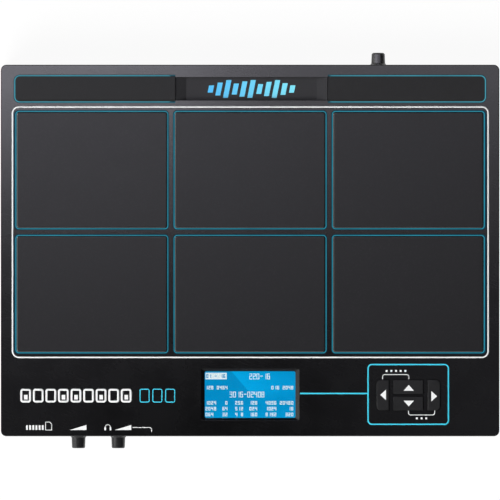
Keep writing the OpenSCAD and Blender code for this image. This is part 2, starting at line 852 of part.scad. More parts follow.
// Outline of the button named, grown by a clearance or a flange
module button_shape(name, grow, z0, z1) {
  d = (button_group_d - button_gap_y) / 2;
  side_x = (mid_button_w + side_button_w) / 2 + button_gap_x;
  mid_y = (d + button_gap_y) / 2;
  r = min(button_r + grow, side_button_w / 2);
  translate([group_x, group_y, z0])
    linear_extrude(z1 - z0) {
      if (name == "left" || name == "right")
        translate([name == "left" ? -side_x : side_x, 0])
          mirror([name == "left" ? 1 : 0, 0])
            polygon(end_rounded(
              -side_button_w / 2 - grow, side_button_w / 2 + grow, button_group_d + 2 * grow, r
            ));
      else
        translate([0, name == "up" ? mid_y : -mid_y])
          square([mid_button_w + 2 * grow, d + 2 * grow], center = true);
    }
}

// Middle of the button named
function button_place(name) =
  name == "left" ? [group_x - (mid_button_w + side_button_w) / 2 - button_gap_x, group_y] :
  name == "right" ? [group_x + (mid_button_w + side_button_w) / 2 + button_gap_x, group_y] :
  [group_x, group_y + (name == "up" ? 1 : -1) * (button_group_d + button_gap_y) / 4];

module button(name) {
  color("#29292b") {
    button_shape(name, 0, z_button_flange, z_top + button_rise);
    button_shape(name, button_flange, z_button_flange, z_under);
    block(button_stem_w, button_stem_w, z_stem, z_button_flange + cut / 4, button_place(name));
  }
}

module button_board() {
  color("#1f5a35")
    difference() {
      block(button_board_w, button_group_d, z_button_board - board_t, z_button_board, [group_x, group_y]);
      posts(button_posts, small_screw_d / 2 + fit, z_button_board - board_t - cut, z_button_board + cut);
    }
}

module tact_switches() {
  color("#b9bbbd")
    for (name = ["left", "right", "up", "down"])
      block(switch_side, switch_side, z_button_board, z_switch, button_place(name));
}

// Knobs and their controls, seen along the control's own axis

module knob(stepped) {
  root = wall + knob_gap;
  tip = wall + knob_reach;
  r = knob_tip_d / 2;
  tip_edge = stepped ?
    [[r, tip - knob_tip_r], [r - knob_tip_r / 2, tip - knob_tip_r / 2], [r - knob_tip_r, tip]] :
    corner_arc(r - knob_tip_r, tip - knob_tip_r, knob_tip_r, 0);
  color("#232325")
    difference() {
      rotate_extrude($fn = 64)
        polygon(concat(
          [
            [0, root], [knob_skirt_d / 2, root],
            [knob_skirt_d / 2, root + knob_skirt_h / 3], [knob_root_d / 2, root + knob_skirt_h]
          ],
          tip_edge,
          [[0, tip]]
        ));
      rod(shaft_d / 2 + screw_fit, root - cut, tip - knob_end_t);
    }
}

module shaft() {
  color("#b5b7ba")
    rod(shaft_d / 2, -seat - pot_l, wall + knob_reach - knob_end_t - fit);
}

module potentiometer() {
  difference() {
    housing(pot_w, jack_h, pot_l, -axis_h);
    rod(shaft_d / 2 + shaft_fit, -seat - pot_l - cut, cut);
  }
}

module potentiometers() {
  color("#3b6ea5") {
    on_front(knob_main_x, z_axis) potentiometer();
    on_front(knob_phones_x, z_axis) potentiometer();
    on_rear(knob_rear_x, z_axis) potentiometer();
  }
}

// Sockets, seen along the socket's own axis

// A jack, whose collar stands in the hole in the wall
module jack() {
  difference() {
    union() {
      housing(jack_w, jack_h, jack_l, -axis_h);
      rod(collar_r, -seat - cut, wall - apart);
    }
    rod(jack_bore / 2, -seat - jack_depth, wall + cut);
  }
}

module phones_jack() {
  color("#222224")
    on_front(phones_x, z_axis) jack();
}

module output_jacks() {
  color("#222224")
    for (x = output_xs)
      on_rear(x, z_axis) jack();
}

module trigger_jacks() {
  color("#222224")
    for (x = trigger_xs)
      on_rear(x, z_axis) jack();
}

module midi_socket() {
  ring_t = 0.9;
  ring_depth = 9;
  pin_r = 0.75;
  pin_circle_r = midi_ring_r * 0.55;
  color("#262628")
    on_rear(midi_x, midi_z)
      difference() {
        housing(midi_w, midi_h, midi_l, -midi_h / 2);
        difference() {
          rod(midi_ring_r, -seat - ring_depth, cut);
          rod(midi_ring_r - ring_t, -seat - ring_depth - cut, 2 * cut);
        }
        for (a = [0:45:180])
          rotate([0, 0, a])
            translate([pin_circle_r, 0, 0])
              rod(pin_r, -seat - ring_depth, cut);
      }
}

module usb_socket() {
  side_t = 2;
  end_t = 1.5;
  tongue_h = 3;
  color("#b9bcc0")
    on_rear(usb_x, usb_z) {
      difference() {
        housing(usb_w, usb_h, usb_l, -usb_h / 2);
        block(usb_w - 2 * side_t, usb_h - 2 * end_t, -seat - plug_depth, cut);
      }
      block(usb_w / 2, tongue_h, -seat - plug_depth - cut, -seat - contact_in);
    }
}

module dc_socket() {
  color("#222224")
    on_rear(dc_x, dc_z) {
      difference() {
        housing(dc_w, dc_w, dc_l, -dc_w / 2);
        rod(dc_bore / 2, -seat - plug_depth, cut);
      }
      rod(dc_pin / 2, -seat - plug_depth - cut, -seat - contact_in);
    }
}

module card_slot() {
  back_t = 2;
  color("#c3c6c9")
    on_front(card_x, card_z)
      difference() {
        housing(card_w, card_h, card_l, -card_h / 2);
        block(card_slot_w, card_slot_t, back_t - seat - card_l, cut);
      }
}

module power_button() {
  color("#303033")
    on_rear(power_x, z_axis) {
      rod(power_button_d / 2, power_back, wall);
      rod(power_stem_r, power_stem, power_back + cut / 4);
    }
}

module power_switch() {
  color("#3a3a3d")
    on_rear(power_x, z_axis)
      difference() {
        translate([-power_w / 2, -axis_h, power_face - power_l])
          cube([power_w, jack_h, power_l]);
        rod(power_stem_r + apart, power_stem - power_travel - cut, power_face + cut);
      }
}

// Circuit boards and the ribbon cable between them

module main_board() {
  color("#1d5c37")
    difference() {
      translate([main_x0, main_front, z_board - board_t])
        cube([main_x1 - main_x0, main_board_d, board_t]);
      posts(case_posts, column_r + apart, z_base, z_part);
      posts(main_posts, small_screw_d / 2 + fit, z_base, z_part);
    }
}

module front_board() {
  color("#1d5c37")
    difference() {
      translate([front_x0, front_front, z_board - board_t])
        cube([front_x1 - front_x0, front_board_d, board_t]);
      posts(case_posts, column_r + apart, z_base, z_part);
      posts(front_posts, small_screw_d / 2 + fit, z_base, z_part);
    }
}

module ribbon_headers() {
  color("#e6e2d6")
    for (y = [front_rear - header_d / 2, main_front + header_d / 2])
      block(ribbon_w + 2 * header_over, header_d, z_board, z_board + header_h, [ribbon_x, y]);
}

// The cable drops from the two headers and lies on the floor between them
module ribbon_cable() {
  z_plug = z_board + header_h / 2;
  drop = 2 * (z_plug - z_floor);
  path = [
    [front_rear, z_plug], [front_rear + ribbon_straight, z_plug], [front_rear + drop, z_floor],
    [main_front - drop, z_floor], [main_front - ribbon_straight, z_plug], [main_front, z_plug]
  ];
  color("#a9adb2")
    along_x(ribbon_x - ribbon_w / 2, ribbon_x + ribbon_w / 2)
      polygon(concat(path, [for (i = [len(path) - 1:-1:0]) path[i] + [0, ribbon_t]]));
}

// Feet, inserts and screws

module rubber_feet() {
  edge = foot_h / 5;
  r = foot_d / 2;
  color("#18181a")
    for (place = foot_places)
      translate([place.x, place.y, 0])
        rotate_extrude()
          polygon([[0, 0], [r - edge, 0], [r, edge], [r, foot_h + foot_recess], [0, foot_h + foot_recess]]);
}

module mount_inserts() {
  color("#c2a24c")
    difference() {
      posts(mount_places, insert_d / 2, z_base, z_base + insert_l);
      posts(mount_places, mount_hole_d / 2, z_base - cut, z_base + insert_l + cut);
    }
}

// A screw with its head at the origin and its thread pointing up
module screw(r, l, cap_r, cap_h) {
  color("#3d3e41")
    rotate_extrude()
      polygon([[0, -cap_h], [cap_r, -cap_h], [cap_r, 0], [r, 0], [r, l - r / 2], [r / 2, l], [0, l]]);
}

module case_screws() {
  for (place = case_posts)
    translate([place.x, place.y, z_head])
      screw(case_screw_d / 2, case_screw_l, head_r, head_h);
}

module small_screw() {
  screw(small_screw_d / 2, small_screw_grip + board_t - 2 * fit, small_head_r, small_head_h);
}

module deck_screws() {
  for (place = deck_posts)
    translate([place.x, place.y, z_deck - deck_t])
      screw(small_screw_d / 2, small_screw_grip + deck_t - 2 * fit, small_head_r, small_head_h);
}

module board_screws() {
  for (place = lcd_posts)
    translate([place.x, place.y, z_lcd_board - board_t])
      small_screw();
  for (place = button_posts)
    translate([place.x, place.y, z_button_board - board_t])
      small_screw();
  for (place = concat(main_posts, front_posts))
    translate([place.x, place.y, z_board])
      rotate([180, 0, 0])
        small_screw();
}

top_case();
bottom_case();
pad_light_guide();
edge_light_guides();
badge_plate();
display_window();
display_panel();
display_board();
button("left");  // button_left
button("right");  // button_right
button("up");  // button_up
button("down");  // button_down
button_board();
tact_switches();
on_front(knob_main_x, z_axis) knob(false);  // knob_main
on_front(knob_phones_x, z_axis) knob(false);  // knob_phones
on_rear(knob_rear_x, z_axis) knob(true);  // knob_rear
on_front(knob_main_x, z_axis) shaft();  // shaft_main
on_front(knob_phones_x, z_axis) shaft();  // shaft_phones
on_rear(knob_rear_x, z_axis) shaft();  // shaft_rear
potentiometers();
main_board();
front_board();
ribbon_cable();
ribbon_headers();
phones_jack();
card_slot();
output_jacks();
trigger_jacks();
midi_socket();
usb_socket();
dc_socket();
power_switch();
power_button();
rubber_feet();
mount_inserts();
case_screws();
deck_screws();
board_screws();
sensor_deck();
force_sensors();
pad_foam();
glow_leds();
for (i = [0:5]) {
  pad(i);
  pad_plate(i);
}
edge_pad(-1);  // edge_pad_left
edge_pad(1);  // edge_pad_right
edge_plate(-1);  // edge_plate_left
edge_plate(1);  // edge_plate_right
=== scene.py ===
import json
import math
import bmesh
import bpy
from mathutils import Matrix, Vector


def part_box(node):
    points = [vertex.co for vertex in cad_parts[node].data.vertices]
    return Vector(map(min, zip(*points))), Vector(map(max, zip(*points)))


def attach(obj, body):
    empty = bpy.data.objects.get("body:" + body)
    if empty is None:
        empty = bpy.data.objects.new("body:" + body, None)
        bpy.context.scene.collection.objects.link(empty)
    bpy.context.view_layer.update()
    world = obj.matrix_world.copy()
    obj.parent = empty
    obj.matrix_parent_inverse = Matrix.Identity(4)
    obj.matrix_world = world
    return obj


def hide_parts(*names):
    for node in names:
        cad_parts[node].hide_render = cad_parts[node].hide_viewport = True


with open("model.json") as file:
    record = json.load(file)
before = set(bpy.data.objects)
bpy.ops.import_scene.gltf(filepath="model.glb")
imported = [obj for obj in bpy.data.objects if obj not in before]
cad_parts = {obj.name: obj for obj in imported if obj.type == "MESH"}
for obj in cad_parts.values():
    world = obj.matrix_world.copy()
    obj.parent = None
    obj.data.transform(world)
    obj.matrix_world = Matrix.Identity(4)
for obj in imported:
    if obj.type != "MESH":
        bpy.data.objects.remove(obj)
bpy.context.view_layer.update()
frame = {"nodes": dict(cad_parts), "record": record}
scene = bpy.context.scene
scene.view_settings.view_transform = "Standard"
mm = 0.001
caseLow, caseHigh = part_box("top_case")
topZ = caseHigh.z  # upper face of the case
white = (1.0, 1.0, 1.0, 1.0)
keyNames = ("left", "right", "up", "down")
knobNames = ("main", "phones", "rear")
print("frame loaded:", len(frame["nodes"]), "solids")


def addObject(name, data):
    item = bpy.data.objects.new(name, data)
    scene.collection.objects.link(item)
    return item


camera = {
    "viewWidth": 0.364,  # what the picture's width takes in at the case top
    "distance": 12.0,
    "aim": (-0.00007, 0.00036),
    "sensor": 36.0,
}


def makeCamera(setup):
    data = bpy.data.cameras.new("photoCamera")
    data.sensor_width = setup["sensor"]
    data.lens = setup["sensor"] * setup["distance"] / setup["viewWidth"]
    data.clip_end = 2 * setup["distance"]
    scene.camera = addObject("photoCamera", data)
    scene.camera.location = (*setup["aim"], topZ + setup["distance"])


makeCamera(camera)
print("camera placed")


# Places and sizes of solids

def middle(node):
    low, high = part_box(node)
    return (low + high) / 2


def halfPlan(node):  # half the width and depth, seen from above
    low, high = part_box(node)
    return ((high.x - low.x) / 2, (high.y - low.y) / 2, 0.0)


caseHalf = halfPlan("top_case")


# Small helpers for node trees

def addNode(tree, kind, inputs=None, **settings):
    node = tree.nodes.new(kind)
    for name, value in settings.items():
        setattr(node, name, value)
    for socket, value in (inputs or {}).items():
        if isinstance(value, bpy.types.NodeSocket):
            tree.links.new(value, node.inputs[socket])
        else:
            node.inputs[socket].default_value = value
    return node


def addGroup(tree, group, inputs=None):
    return addNode(tree, "ShaderNodeGroup", inputs, node_tree=group).outputs


def linkAll(tree, node, links):
    for name, socket in links.items():
        tree.links.new(socket, node.inputs[name])


def calc(tree, operation, *values, clamp=False):
    node = addNode(tree, "ShaderNodeMath", dict(enumerate(values)), operation=operation, use_clamp=clamp)
    return node.outputs[0]


def scaled(tree, value, factor, base):  # value times factor plus base
    return calc(tree, "MULTIPLY_ADD", value, factor, base)


def vectorCalc(tree, operation, *values, out="Vector"):
    node = addNode(tree, "ShaderNodeVectorMath", dict(enumerate(values)), operation=operation)
    return node.outputs[out]


def remap(tree, value, low, high, toLow=0.0, toHigh=1.0, curve="LINEAR"):
    inputs = {"Value": value, "From Min": low, "From Max": high, "To Min": toLow, "To Max": toHigh}
    return addNode(tree, "ShaderNodeMapRange", inputs, interpolation_type=curve).outputs["Result"]


def mixColours(tree, factor, first, second):
    return addNode(tree, "ShaderNodeMix", {0: factor, 6: first, 7: second}, data_type="RGBA").outputs[2]


def split(tree, vector):
    return addNode(tree, "ShaderNodeSeparateXYZ", {"Vector": vector}).outputs


def objectPlace(tree):
    return addNode(tree, "ShaderNodeTexCoord").outputs["Object"]


def lookingUp(tree):  # 1 on a level face, 0 on an upright one
    return split(tree, addNode(tree, "ShaderNodeNewGeometry").outputs["Normal"])["Z"]


def perMetre(tree, size):  # how often a size in millimetres fits in a metre
    return calc(tree, "DIVIDE", 1000.0, size)


def noise(tree, place, scale, detail):
    return addNode(tree, "ShaderNodeTexNoise", {"Vector": place, "Scale": scale, "Detail": detail}).outputs[0]


def display(red, green, blue):  # a screen colour, 0 to 255, as the light it stands for
    def light(level):
        share = level / 255
        return share / 12.92 if share <= 0.04045 else ((share + 0.055) / 1.055) ** 2.4
    return (light(red), light(green), light(blue), 1.0)


def shade(colour, factor):
    return (*(min(1.0, c * factor) for c in colour[:3]), 1.0)


def varied(tree, mask, colour, low, high):  # one colour between two brightnesses
    return mixColours(tree, mask, shade(colour, low), shade(colour, high))


# Effects that several finishes share

def shaderGroup(name, inputs, outputs):
    tree = bpy.data.node_groups.new(name, "ShaderNodeTree")
    for label, value in inputs.items():
        kind = "NodeSocketVector" if isinstance(value, tuple) else "NodeSocketFloat"
        tree.interface.new_socket(label, in_out="INPUT", socket_type=kind).default_value = value
    for label in outputs:
        tree.interface.new_socket(label, in_out="OUTPUT", socket_type="NodeSocketFloat")
    return tree, tree.nodes.new("NodeGroupInput").outputs, tree.nodes.new("NodeGroupOutput")


def makeMouldGrain():  # pebbled moulding texture and broad patches, sizes in millimetres
    tree, given, result = shaderGroup("mouldGrain", {"Grain Size": 0.4, "Patch Size": 30.0}, ["Height", "Patch"])
    place = objectPlace(tree)
    fine = perMetre(tree, given["Grain Size"])
    pebbles = addNode(tree, "ShaderNodeTexVoronoi", {"Vector": place, "Scale": fine}).outputs["Distance"]
    height = scaled(tree, pebbles, 0.6, noise(tree, place, fine, 4.0))
    cloud = noise(tree, place, perMetre(tree, given["Patch Size"]), 5.0)
    linkAll(tree, result, {"Height": height, "Patch": remap(tree, cloud, 0.3, 0.7)})
    return tree


def makeScuffs():  # hair scratches along one direction, lengths in millimetres
    tree, given, result = shaderGroup("scuffs", {"Length": 18.0, "Width": 0.25, "Turn": 0.4}, ["Scratch"])
    turned = addNode(tree, "ShaderNodeVectorRotate", {"Vector": objectPlace(tree), "Angle": given["Turn"]},
                     rotation_type="Z_AXIS").outputs[0]
    along = perMetre(tree, given["Length"])
    across = perMetre(tree, given["Width"])
    stretch = addNode(tree, "ShaderNodeCombineXYZ", {"X": along, "Y": across, "Z": across}).outputs[0]
    threads = noise(tree, vectorCalc(tree, "MULTIPLY", turned, stretch), 1.0, 2.0)
    linkAll(tree, result, {"Scratch": remap(tree, threads, 0.62, 0.75)})
    return tree


edgeInputs = {"Place": (0.0, 0.0, 0.0), "Half Size": (0.1, 0.1, 0.0), "Corner": 0.004}


def makeRoundedEdge():  # distance to the edge of a rounded rectangle, negative inside it
    tree, given, result = shaderGroup("roundedEdge", edgeInputs, ["Distance"])
    corner = addNode(tree, "ShaderNodeCombineXYZ", {"X": given["Corner"], "Y": given["Corner"]}).outputs[0]
    inner = vectorCalc(tree, "SUBTRACT", given["Half Size"], corner)
    flat = split(tree, vectorCalc(tree, "SUBTRACT", vectorCalc(tree, "ABSOLUTE", given["Place"]), inner))
    outX = calc(tree, "MAXIMUM", flat["X"], 0.0)
    outY = calc(tree, "MAXIMUM", flat["Y"], 0.0)
    outside = calc(tree, "SQRT", scaled(tree, outX, outX, calc(tree, "MULTIPLY", outY, outY)))
    inside = calc(tree, "MINIMUM", calc(tree, "MAXIMUM", flat["X"], flat["Y"]), 0.0)
    distance = calc(tree, "SUBTRACT", calc(tree, "ADD", outside, inside), given["Corner"])
    linkAll(tree, result, {"Distance": distance})
    return tree


def makeRimWear():  # a band along the edge of a rounded rectangle, and worn specks in it
    tree, given, result = shaderGroup("rimWear", edgeInputs | {"Band": 0.002}, ["Edge", "Worn"])
    distance = addGroup(tree, roundedEdge, {name: given[name] for name in edgeInputs})["Distance"]
    edge = remap(tree, distance, calc(tree, "MULTIPLY", given["Band"], -1.0), 0.0, curve="SMOOTHSTEP")
    specks = remap(tree, noise(tree, given["Place"], 900.0, 4.0), 0.45, 0.65)
    linkAll(tree, result, {"Edge": edge, "Worn": calc(tree, "MULTIPLY", edge, specks)})
    return tree


def makeDustFilm():  # dust that settles on faces that look up
    tree, given, result = shaderGroup("dustFilm", {"Speck Size": 1.2}, ["Dust"])
    cloud = noise(tree, objectPlace(tree), perMetre(tree, given["Speck Size"]), 6.0)
    up = calc(tree, "MAXIMUM", lookingUp(tree), 0.0)
    linkAll(tree, result, {"Dust": calc(tree, "MULTIPLY", remap(tree, cloud, 0.52, 0.8), up)})
    return tree


mouldGrain = makeMouldGrain()
scuffs = makeScuffs()
roundedEdge = makeRoundedEdge()
rimWear = makeRimWear()
dustFilm = makeDustFilm()
print("shared effects built")


# Finishes

finishes = {}


def newMaterial(name, constants):
    material = bpy.data.materials.new(name)
    material.use_nodes = True
    shader = material.node_tree.nodes["Principled BSDF"]
    for label, value in constants.items():
        shader.inputs[label].default_value = value
    finishes[name] = material
    return material.node_tree, shader


def newFinish(name, look, constants):  # a material and its grain, sizes in millimetres
    tree, shader = newMaterial(name, constants)
    return tree, shader, addGroup(tree, mouldGrain, {"Grain Size": look["grain"], "Patch Size": look["patch"]})


def roughness(tree, mask, look):
    return scaled(tree, mask, look["roughSpread"], look["rough"])


def dress(tree, shader, colour, rough, height=None, depth=0.0):  # depth of the relief in millimetres
    links = {"Base Color": colour, "Roughness": rough}
    if height is not None:
        links["Normal"] = addNode(tree, "ShaderNodeBump", {"Height": height, "Distance": depth * mm}).outputs[0]
    linkAll(tree, shader, links)


def makeMoulded(name, look):
    tree, shader, grain = newFinish(name, look, {"IOR": look["ior"]} | look["coat"])
    plain = look["colour"]
    dust = calc(tree, "MULTIPLY", addGroup(tree, dustFilm)["Dust"], look["dust"])
    colour = varied(tree, grain["Patch"], plain, 1 - look["spread"], 1 + look["spread"])
    colour = mixColours(tree, dust, colour, look["dustColour"])
    scratch = addGroup(tree, scuffs)["Scratch"]
    rough = scaled(tree, scratch, look["scratch"], roughness(tree, grain["Patch"], look))
    if "rim" in look:
        rim = look["rim"]
        if "attribute" in rim:
            place = addNode(tree, "ShaderNodeAttribute", attribute_name=rim["attribute"]).outputs["Vector"]
        else:
            place = objectPlace(tree)
        wear = addGroup(tree, rimWear, {"Place": place} | rim["shape"])
        # painted shade: the band along each edge takes a darkened copy of the plain colour, which darkens the pads'
        # rims
        colour = mixColours(tree, wear["Edge"], colour, shade(plain, rim["edgeShade"]))
        worn = calc(tree, "MULTIPLY", wear["Worn"], rim["share"])
        colour = mixColours(tree, worn, colour, shade(plain, rim["lift"]))
        rough = scaled(tree, wear["Edge"], -rim["polish"], rough)
        if "gloss" in rim:  # only the steep part of the edge
            linkAll(tree, shader, {"Coat Weight": remap(tree, wear["Edge"], 0.35, 0.75, 0.0, rim["gloss"])})
    if "tiltGloss" in look:  # polished only where the face leans over
        linkAll(tree, shader, {"Coat Weight": remap(tree, lookingUp(tree), 0.6, 0.95, look["tiltGloss"], 0.0)})
    dress(tree, shader, colour, rough, grain["Height"], look["depth"])


def makeMetal(name, look):
    tree, shader, grain = newFinish(name, look, {"Metallic": 1.0})
    brush = {"Length": look["brushLength"], "Width": look["brushWidth"], "Turn": 0.0}
    brushed = addGroup(tree, scuffs, brush)["Scratch"]
    rough = scaled(tree, brushed, look["brush"], roughness(tree, grain["Patch"], look))
    dress(tree, shader, varied(tree, grain["Patch"], look["colour"], 0.85, 1.1), rough, brushed, look["depth"])


padCorner = 1.8 * mm
stripCorner = 3 * mm
plainPlastic = {  # what a moulded finish has where it says nothing else, sizes in millimetres
    "spread": 0.12, "roughSpread": 0.1, "grain": 0.3, "patch": 5.0, "depth": 0.02, "scratch": 0.1,
    "dust": 0.02, "dustColour": (0.3, 0.3, 0.3, 1.0), "ior": 1.5, "coat": {},
}
inkLook = {"rough": 0.48, "grain": 0.25, "patch": 3.0, "depth": 0.004}
plasticLooks = {
    "caseSatin": {
        "colour": (0.0029, 0.0029, 0.0031), "rough": 0.24, "roughSpread": 0.05, "grain": 0.45, "patch": 22.0,
        "depth": 0.006, "scratch": 0.035, "dust": 0.012,
        "rim": {"shape": {"Half Size": caseHalf, "Corner": 4 * mm, "Band": 1.6 * mm},
                "edgeShade": 1.0, "share": 0.5, "lift": 3.0, "polish": 0.08},
    },
    "baseBlack": {
        "colour": (0.0065, 0.0065, 0.0069), "spread": 0.15, "rough": 0.46, "roughSpread": 0.08,
        "grain": 0.7, "patch": 26.0, "depth": 0.04, "dust": 0.03,
    },
    "padRubber": {
        "colour": (0.0082, 0.0082, 0.0088), "spread": 0.07, "rough": 0.51, "roughSpread": 0.07,
        "grain": 0.55, "patch": 9.0, "depth": 0.024, "scratch": 0.05, "ior": 1.38,
        # the pads' rims are darkened to 0.35 of the colour: painted shade
        "rim": {"shape": {"Half Size": halfPlan("pad_1"), "Corner": padCorner, "Band": 1.1 * mm},
                "attribute": "padPlace", "edgeShade": 0.35, "share": 0.3, "lift": 1.6, "polish": 0.2, "gloss": 1.0},
        "coat": {"Coat Roughness": 0.15, "Coat IOR": 2.8},
    },
    "stripRubber": {
        "colour": (0.02, 0.02, 0.0207), "spread": 0.07, "rough": 0.56, "roughSpread": 0.07,
        "grain": 0.5, "patch": 8.0, "depth": 0.03, "scratch": 0.05, "ior": 1.2,
    },
    "traySatin": {
        "colour": (0.0208, 0.0208, 0.0219), "spread": 0.08, "rough": 0.44, "roughSpread": 0.05,
        "grain": 0.35, "patch": 12.0, "depth": 0.008, "scratch": 0.06, "dust": 0.015, "ior": 1.24,
    },
    "keyRubber": {
        "colour": (0.0125, 0.0125, 0.013), "spread": 0.1, "rough": 0.5, "roughSpread": 0.06,
        "patch": 4.0, "depth": 0.012, "scratch": 0.05, "ior": 1.3,
        "tiltGloss": 0.9, "coat": {"Coat Roughness": 0.18, "Coat IOR": 2.8},
    },
    "knobSoft": {
        "colour": (0.011, 0.011, 0.0118), "spread": 0.1, "rough": 0.36, "roughSpread": 0.06,
        "grain": 0.22, "patch": 3.0, "depth": 0.006, "ior": 1.6,
    },
    "controlBody": {"colour": (0.05, 0.16, 0.36), "rough": 0.45, "dust": 0.05},
    "nylonBlack": {"colour": (0.014, 0.014, 0.015), "rough": 0.4, "patch": 6.0, "dust": 0.04},
    "headerIvory": {
        "colour": (0.72, 0.68, 0.57), "spread": 0.06, "rough": 0.45, "roughSpread": 0.08,
        "depth": 0.015, "scratch": 0.08, "dust": 0.06,
    },
    "footRubber": {
        "colour": (0.012, 0.012, 0.012), "spread": 0.15, "rough": 0.78,
        "grain": 0.6, "depth": 0.05, "scratch": 0.05, "dust": 0.08,
    },
    "deckGrey": {
        "colour": (0.16, 0.165, 0.175), "spread": 0.08, "rough": 0.5,
        "grain": 0.5, "patch": 20.0, "depth": 0.025, "dust": 0.05,
    },
    "foamGrey": {
        "colour": (0.09, 0.09, 0.1), "spread": 0.2, "rough": 0.9, "roughSpread": 0.08,
        "grain": 0.9, "patch": 10.0, "depth": 0.3, "scratch": 0.0, "dust": 0.03,
    },
    "ledLens": {
        "colour": (0.75, 0.82, 0.83), "spread": 0.06, "rough": 0.2, "roughSpread": 0.08,
        "patch": 2.0, "depth": 0.01, "dust": 0.03,
    },
    "whiteInk": inkLook | {"colour": (0.95, 0.96, 0.955), "spread": 0.03},
    "cyanInk": inkLook | {"colour": display(60, 212, 240), "spread": 0.04, "dust": 0.01},
}
plainMetal = {"brushWidth": 0.08, "roughSpread": 0.08, "depth": 0.006}
metalLooks = {
    "plainSteel": {
        "colour": (0.52, 0.52, 0.53), "rough": 0.32, "brush": 0.2, "brushLength": 25.0, "grain": 0.4, "patch": 14.0,
    },
    "nickelPlate": {
        "colour": (0.6, 0.6, 0.61), "rough": 0.18, "brush": 0.12, "brushLength": 8.0, "grain": 0.3, "patch": 4.0,
        "depth": 0.003,
    },
    "blackScrew": {
        "colour": (0.07, 0.07, 0.075), "rough": 0.34, "brush": 0.15, "brushLength": 3.0, "grain": 0.2, "patch": 1.5,
    },
    # painted shade: steel darkened almost to black so the gap beside each pad reads as a shadow line
    "gapShadeSteel": {
        "colour": (0.022, 0.022, 0.024), "rough": 0.42, "brush": 0.12, "brushLength": 20.0, "grain": 0.4,
        "patch": 12.0,
    },
    "turnedBrass": {
        "colour": (0.62, 0.43, 0.14), "rough": 0.25, "brush": 0.2, "brushLength": 4.0, "grain": 0.2, "patch": 2.0,
    },
}
for name, look in plasticLooks.items():
    makeMoulded(name, plainPlastic | look)
for name, look in metalLooks.items():
    makeMetal(name, plainMetal | look)

glow = {
    "near": (0.034, 0.35, 0.48),        # next to the rubber
    "far": (0.001, 0.022, 0.042, 1.0),  # at the edge of the case
    "unlit": (0.002, 0.014, 0.02),
    "fade": (0.55 * mm, 0.8 * mm),
    "grain": 0.5, "patch": 26.0, "depth": 0.02, "rough": 0.4, "roughSpread": 0.15,
}
# the strips' guides glow brighter and greyer than the pads': their own light plus a painted sheen
stripGlowAndSheen = glow | {"near": (0.075, 0.38, 0.48), "far": (0.012, 0.07, 0.1, 1.0), "fade": (0.6 * mm, 0.9 * mm)}


def makeGlowRim(name, look, fold, solid, corner):  # light guide that is brightest next to the rubber
    tree, shader, grain = newFinish(name, look, {"IOR": 1.18, "Emission Strength": 1.0})
    flat = split(tree, objectPlace(tree))
    x, y = fold(tree, flat["X"], flat["Y"])
    place = addNode(tree, "ShaderNodeCombineXYZ", {"X": x, "Y": y}).outputs[0]
    shape = {"Place": place, "Half Size": halfPlan(solid), "Corner": corner}
    away = addGroup(tree, roundedEdge, shape)["Distance"]
    dim = remap(tree, away, *look["fade"], curve="SMOOTHSTEP")
    near = varied(tree, grain["Patch"], look["near"], 0.85, 1.15)
    linkAll(tree, shader, {"Emission Color": mixColours(tree, dim, near, look["far"])})
    body = varied(tree, grain["Patch"], look["unlit"], 0.8, 1.2)
    dress(tree, shader, body, roughness(tree, grain["Patch"], look), grain["Height"], look["depth"])


def foldPads(tree, x, y):  # every pad of the field onto one
    first, second, below = middle("pad_1"), middle("pad_2"), middle("pad_4")
    pitch = second.x - first.x
    column = calc(tree, "ROUND", calc(tree, "DIVIDE", x, pitch))
    rows = calc(tree, "ABSOLUTE", calc(tree, "SUBTRACT", y, (first.y + below.y) / 2))
    return scaled(tree, column, -pitch, x), calc(tree, "SUBTRACT", rows, (first.y - below.y) / 2)


def foldStrips(tree, x, y):  # the left strip onto the right one
    strip = middle("edge_pad_right")
    endX = calc(tree, "SUBTRACT", calc(tree, "ABSOLUTE", x), strip.x)
    return endX, calc(tree, "SUBTRACT", y, strip.y)


badge = {
    "left": display(58, 186, 250), "right": display(130, 238, 255), "from": -0.033, "to": 0.035,
    "grain": 0.25, "patch": 3.0, "depth": 0.004, "rough": 0.4, "roughSpread": 0.12,
}


def makeBadgeInk(look):  # cyan that lightens to the right
    tree, shader, grain = newFinish("badgeInk", look, {"IOR": 1.45})
    across = remap(tree, split(tree, objectPlace(tree))["X"], look["from"], look["to"], 0.0, 0.9)
    across = scaled(tree, grain["Patch"], 0.1, across)
    colour = mixColours(tree, across, look["left"], look["right"])
    dress(tree, shader, colour, roughness(tree, grain["Patch"], look), grain["Height"], look["depth"])


window = {"tint": (0.95, 0.98, 1.0, 1.0), "smear": 0.03, "grain": 0.8, "patch": 14.0}


def makeClearWindow(look):  # acrylic with a trace of smears
    tree, shader, grain = newFinish("clearWindow", look, {"IOR": 1.2, "Transmission Weight": 1.0})
    rough = remap(tree, grain["Patch"], 0.0, 1.0, 0.0, look["smear"])
    dress(tree, shader, mixColours(tree, grain["Patch"], look["tint"], white), rough)


lcd = {"width": 66.0, "depth": 33.8, "columns": 128, "rows": 64}
screen = {
    "behindGlass": 0.16 * mm,
    "edge": 0.2 * mm,
    "edgeSteps": 2,
    "blue": display(0, 139, 196),
    # painted reflection: the lighter screen colour in the slanting field and the front band
    "sheen": display(0, 164, 224),
    "sheenTop": -13.7 * mm,  # where the painted reflection, a lighter field, starts at the rear edge
    "sheenSlope": 0.876,
    "sheenEdge": 0.4 * mm,
    "sheenFade": 46 * mm,
    "sheenDepth": (-4 * mm, 6 * mm),
    # painted reflection: a lighter band along the front edge
    "paintedFrontSheen": (-18 * mm, -6 * mm),
    "grain": 0.5, "patch": 9.0, "rough": 0.3, "roughSpread": 0.1,
}
litDots = {"colour": (0.9, 1.0, 0.96), "height": 0.06 * mm, "share": 0.92, "grain": 0.3, "patch": 3.0}
screenLow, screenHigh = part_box("display_panel")
screenMid = middle("display_panel")
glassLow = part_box("display_window")[0]


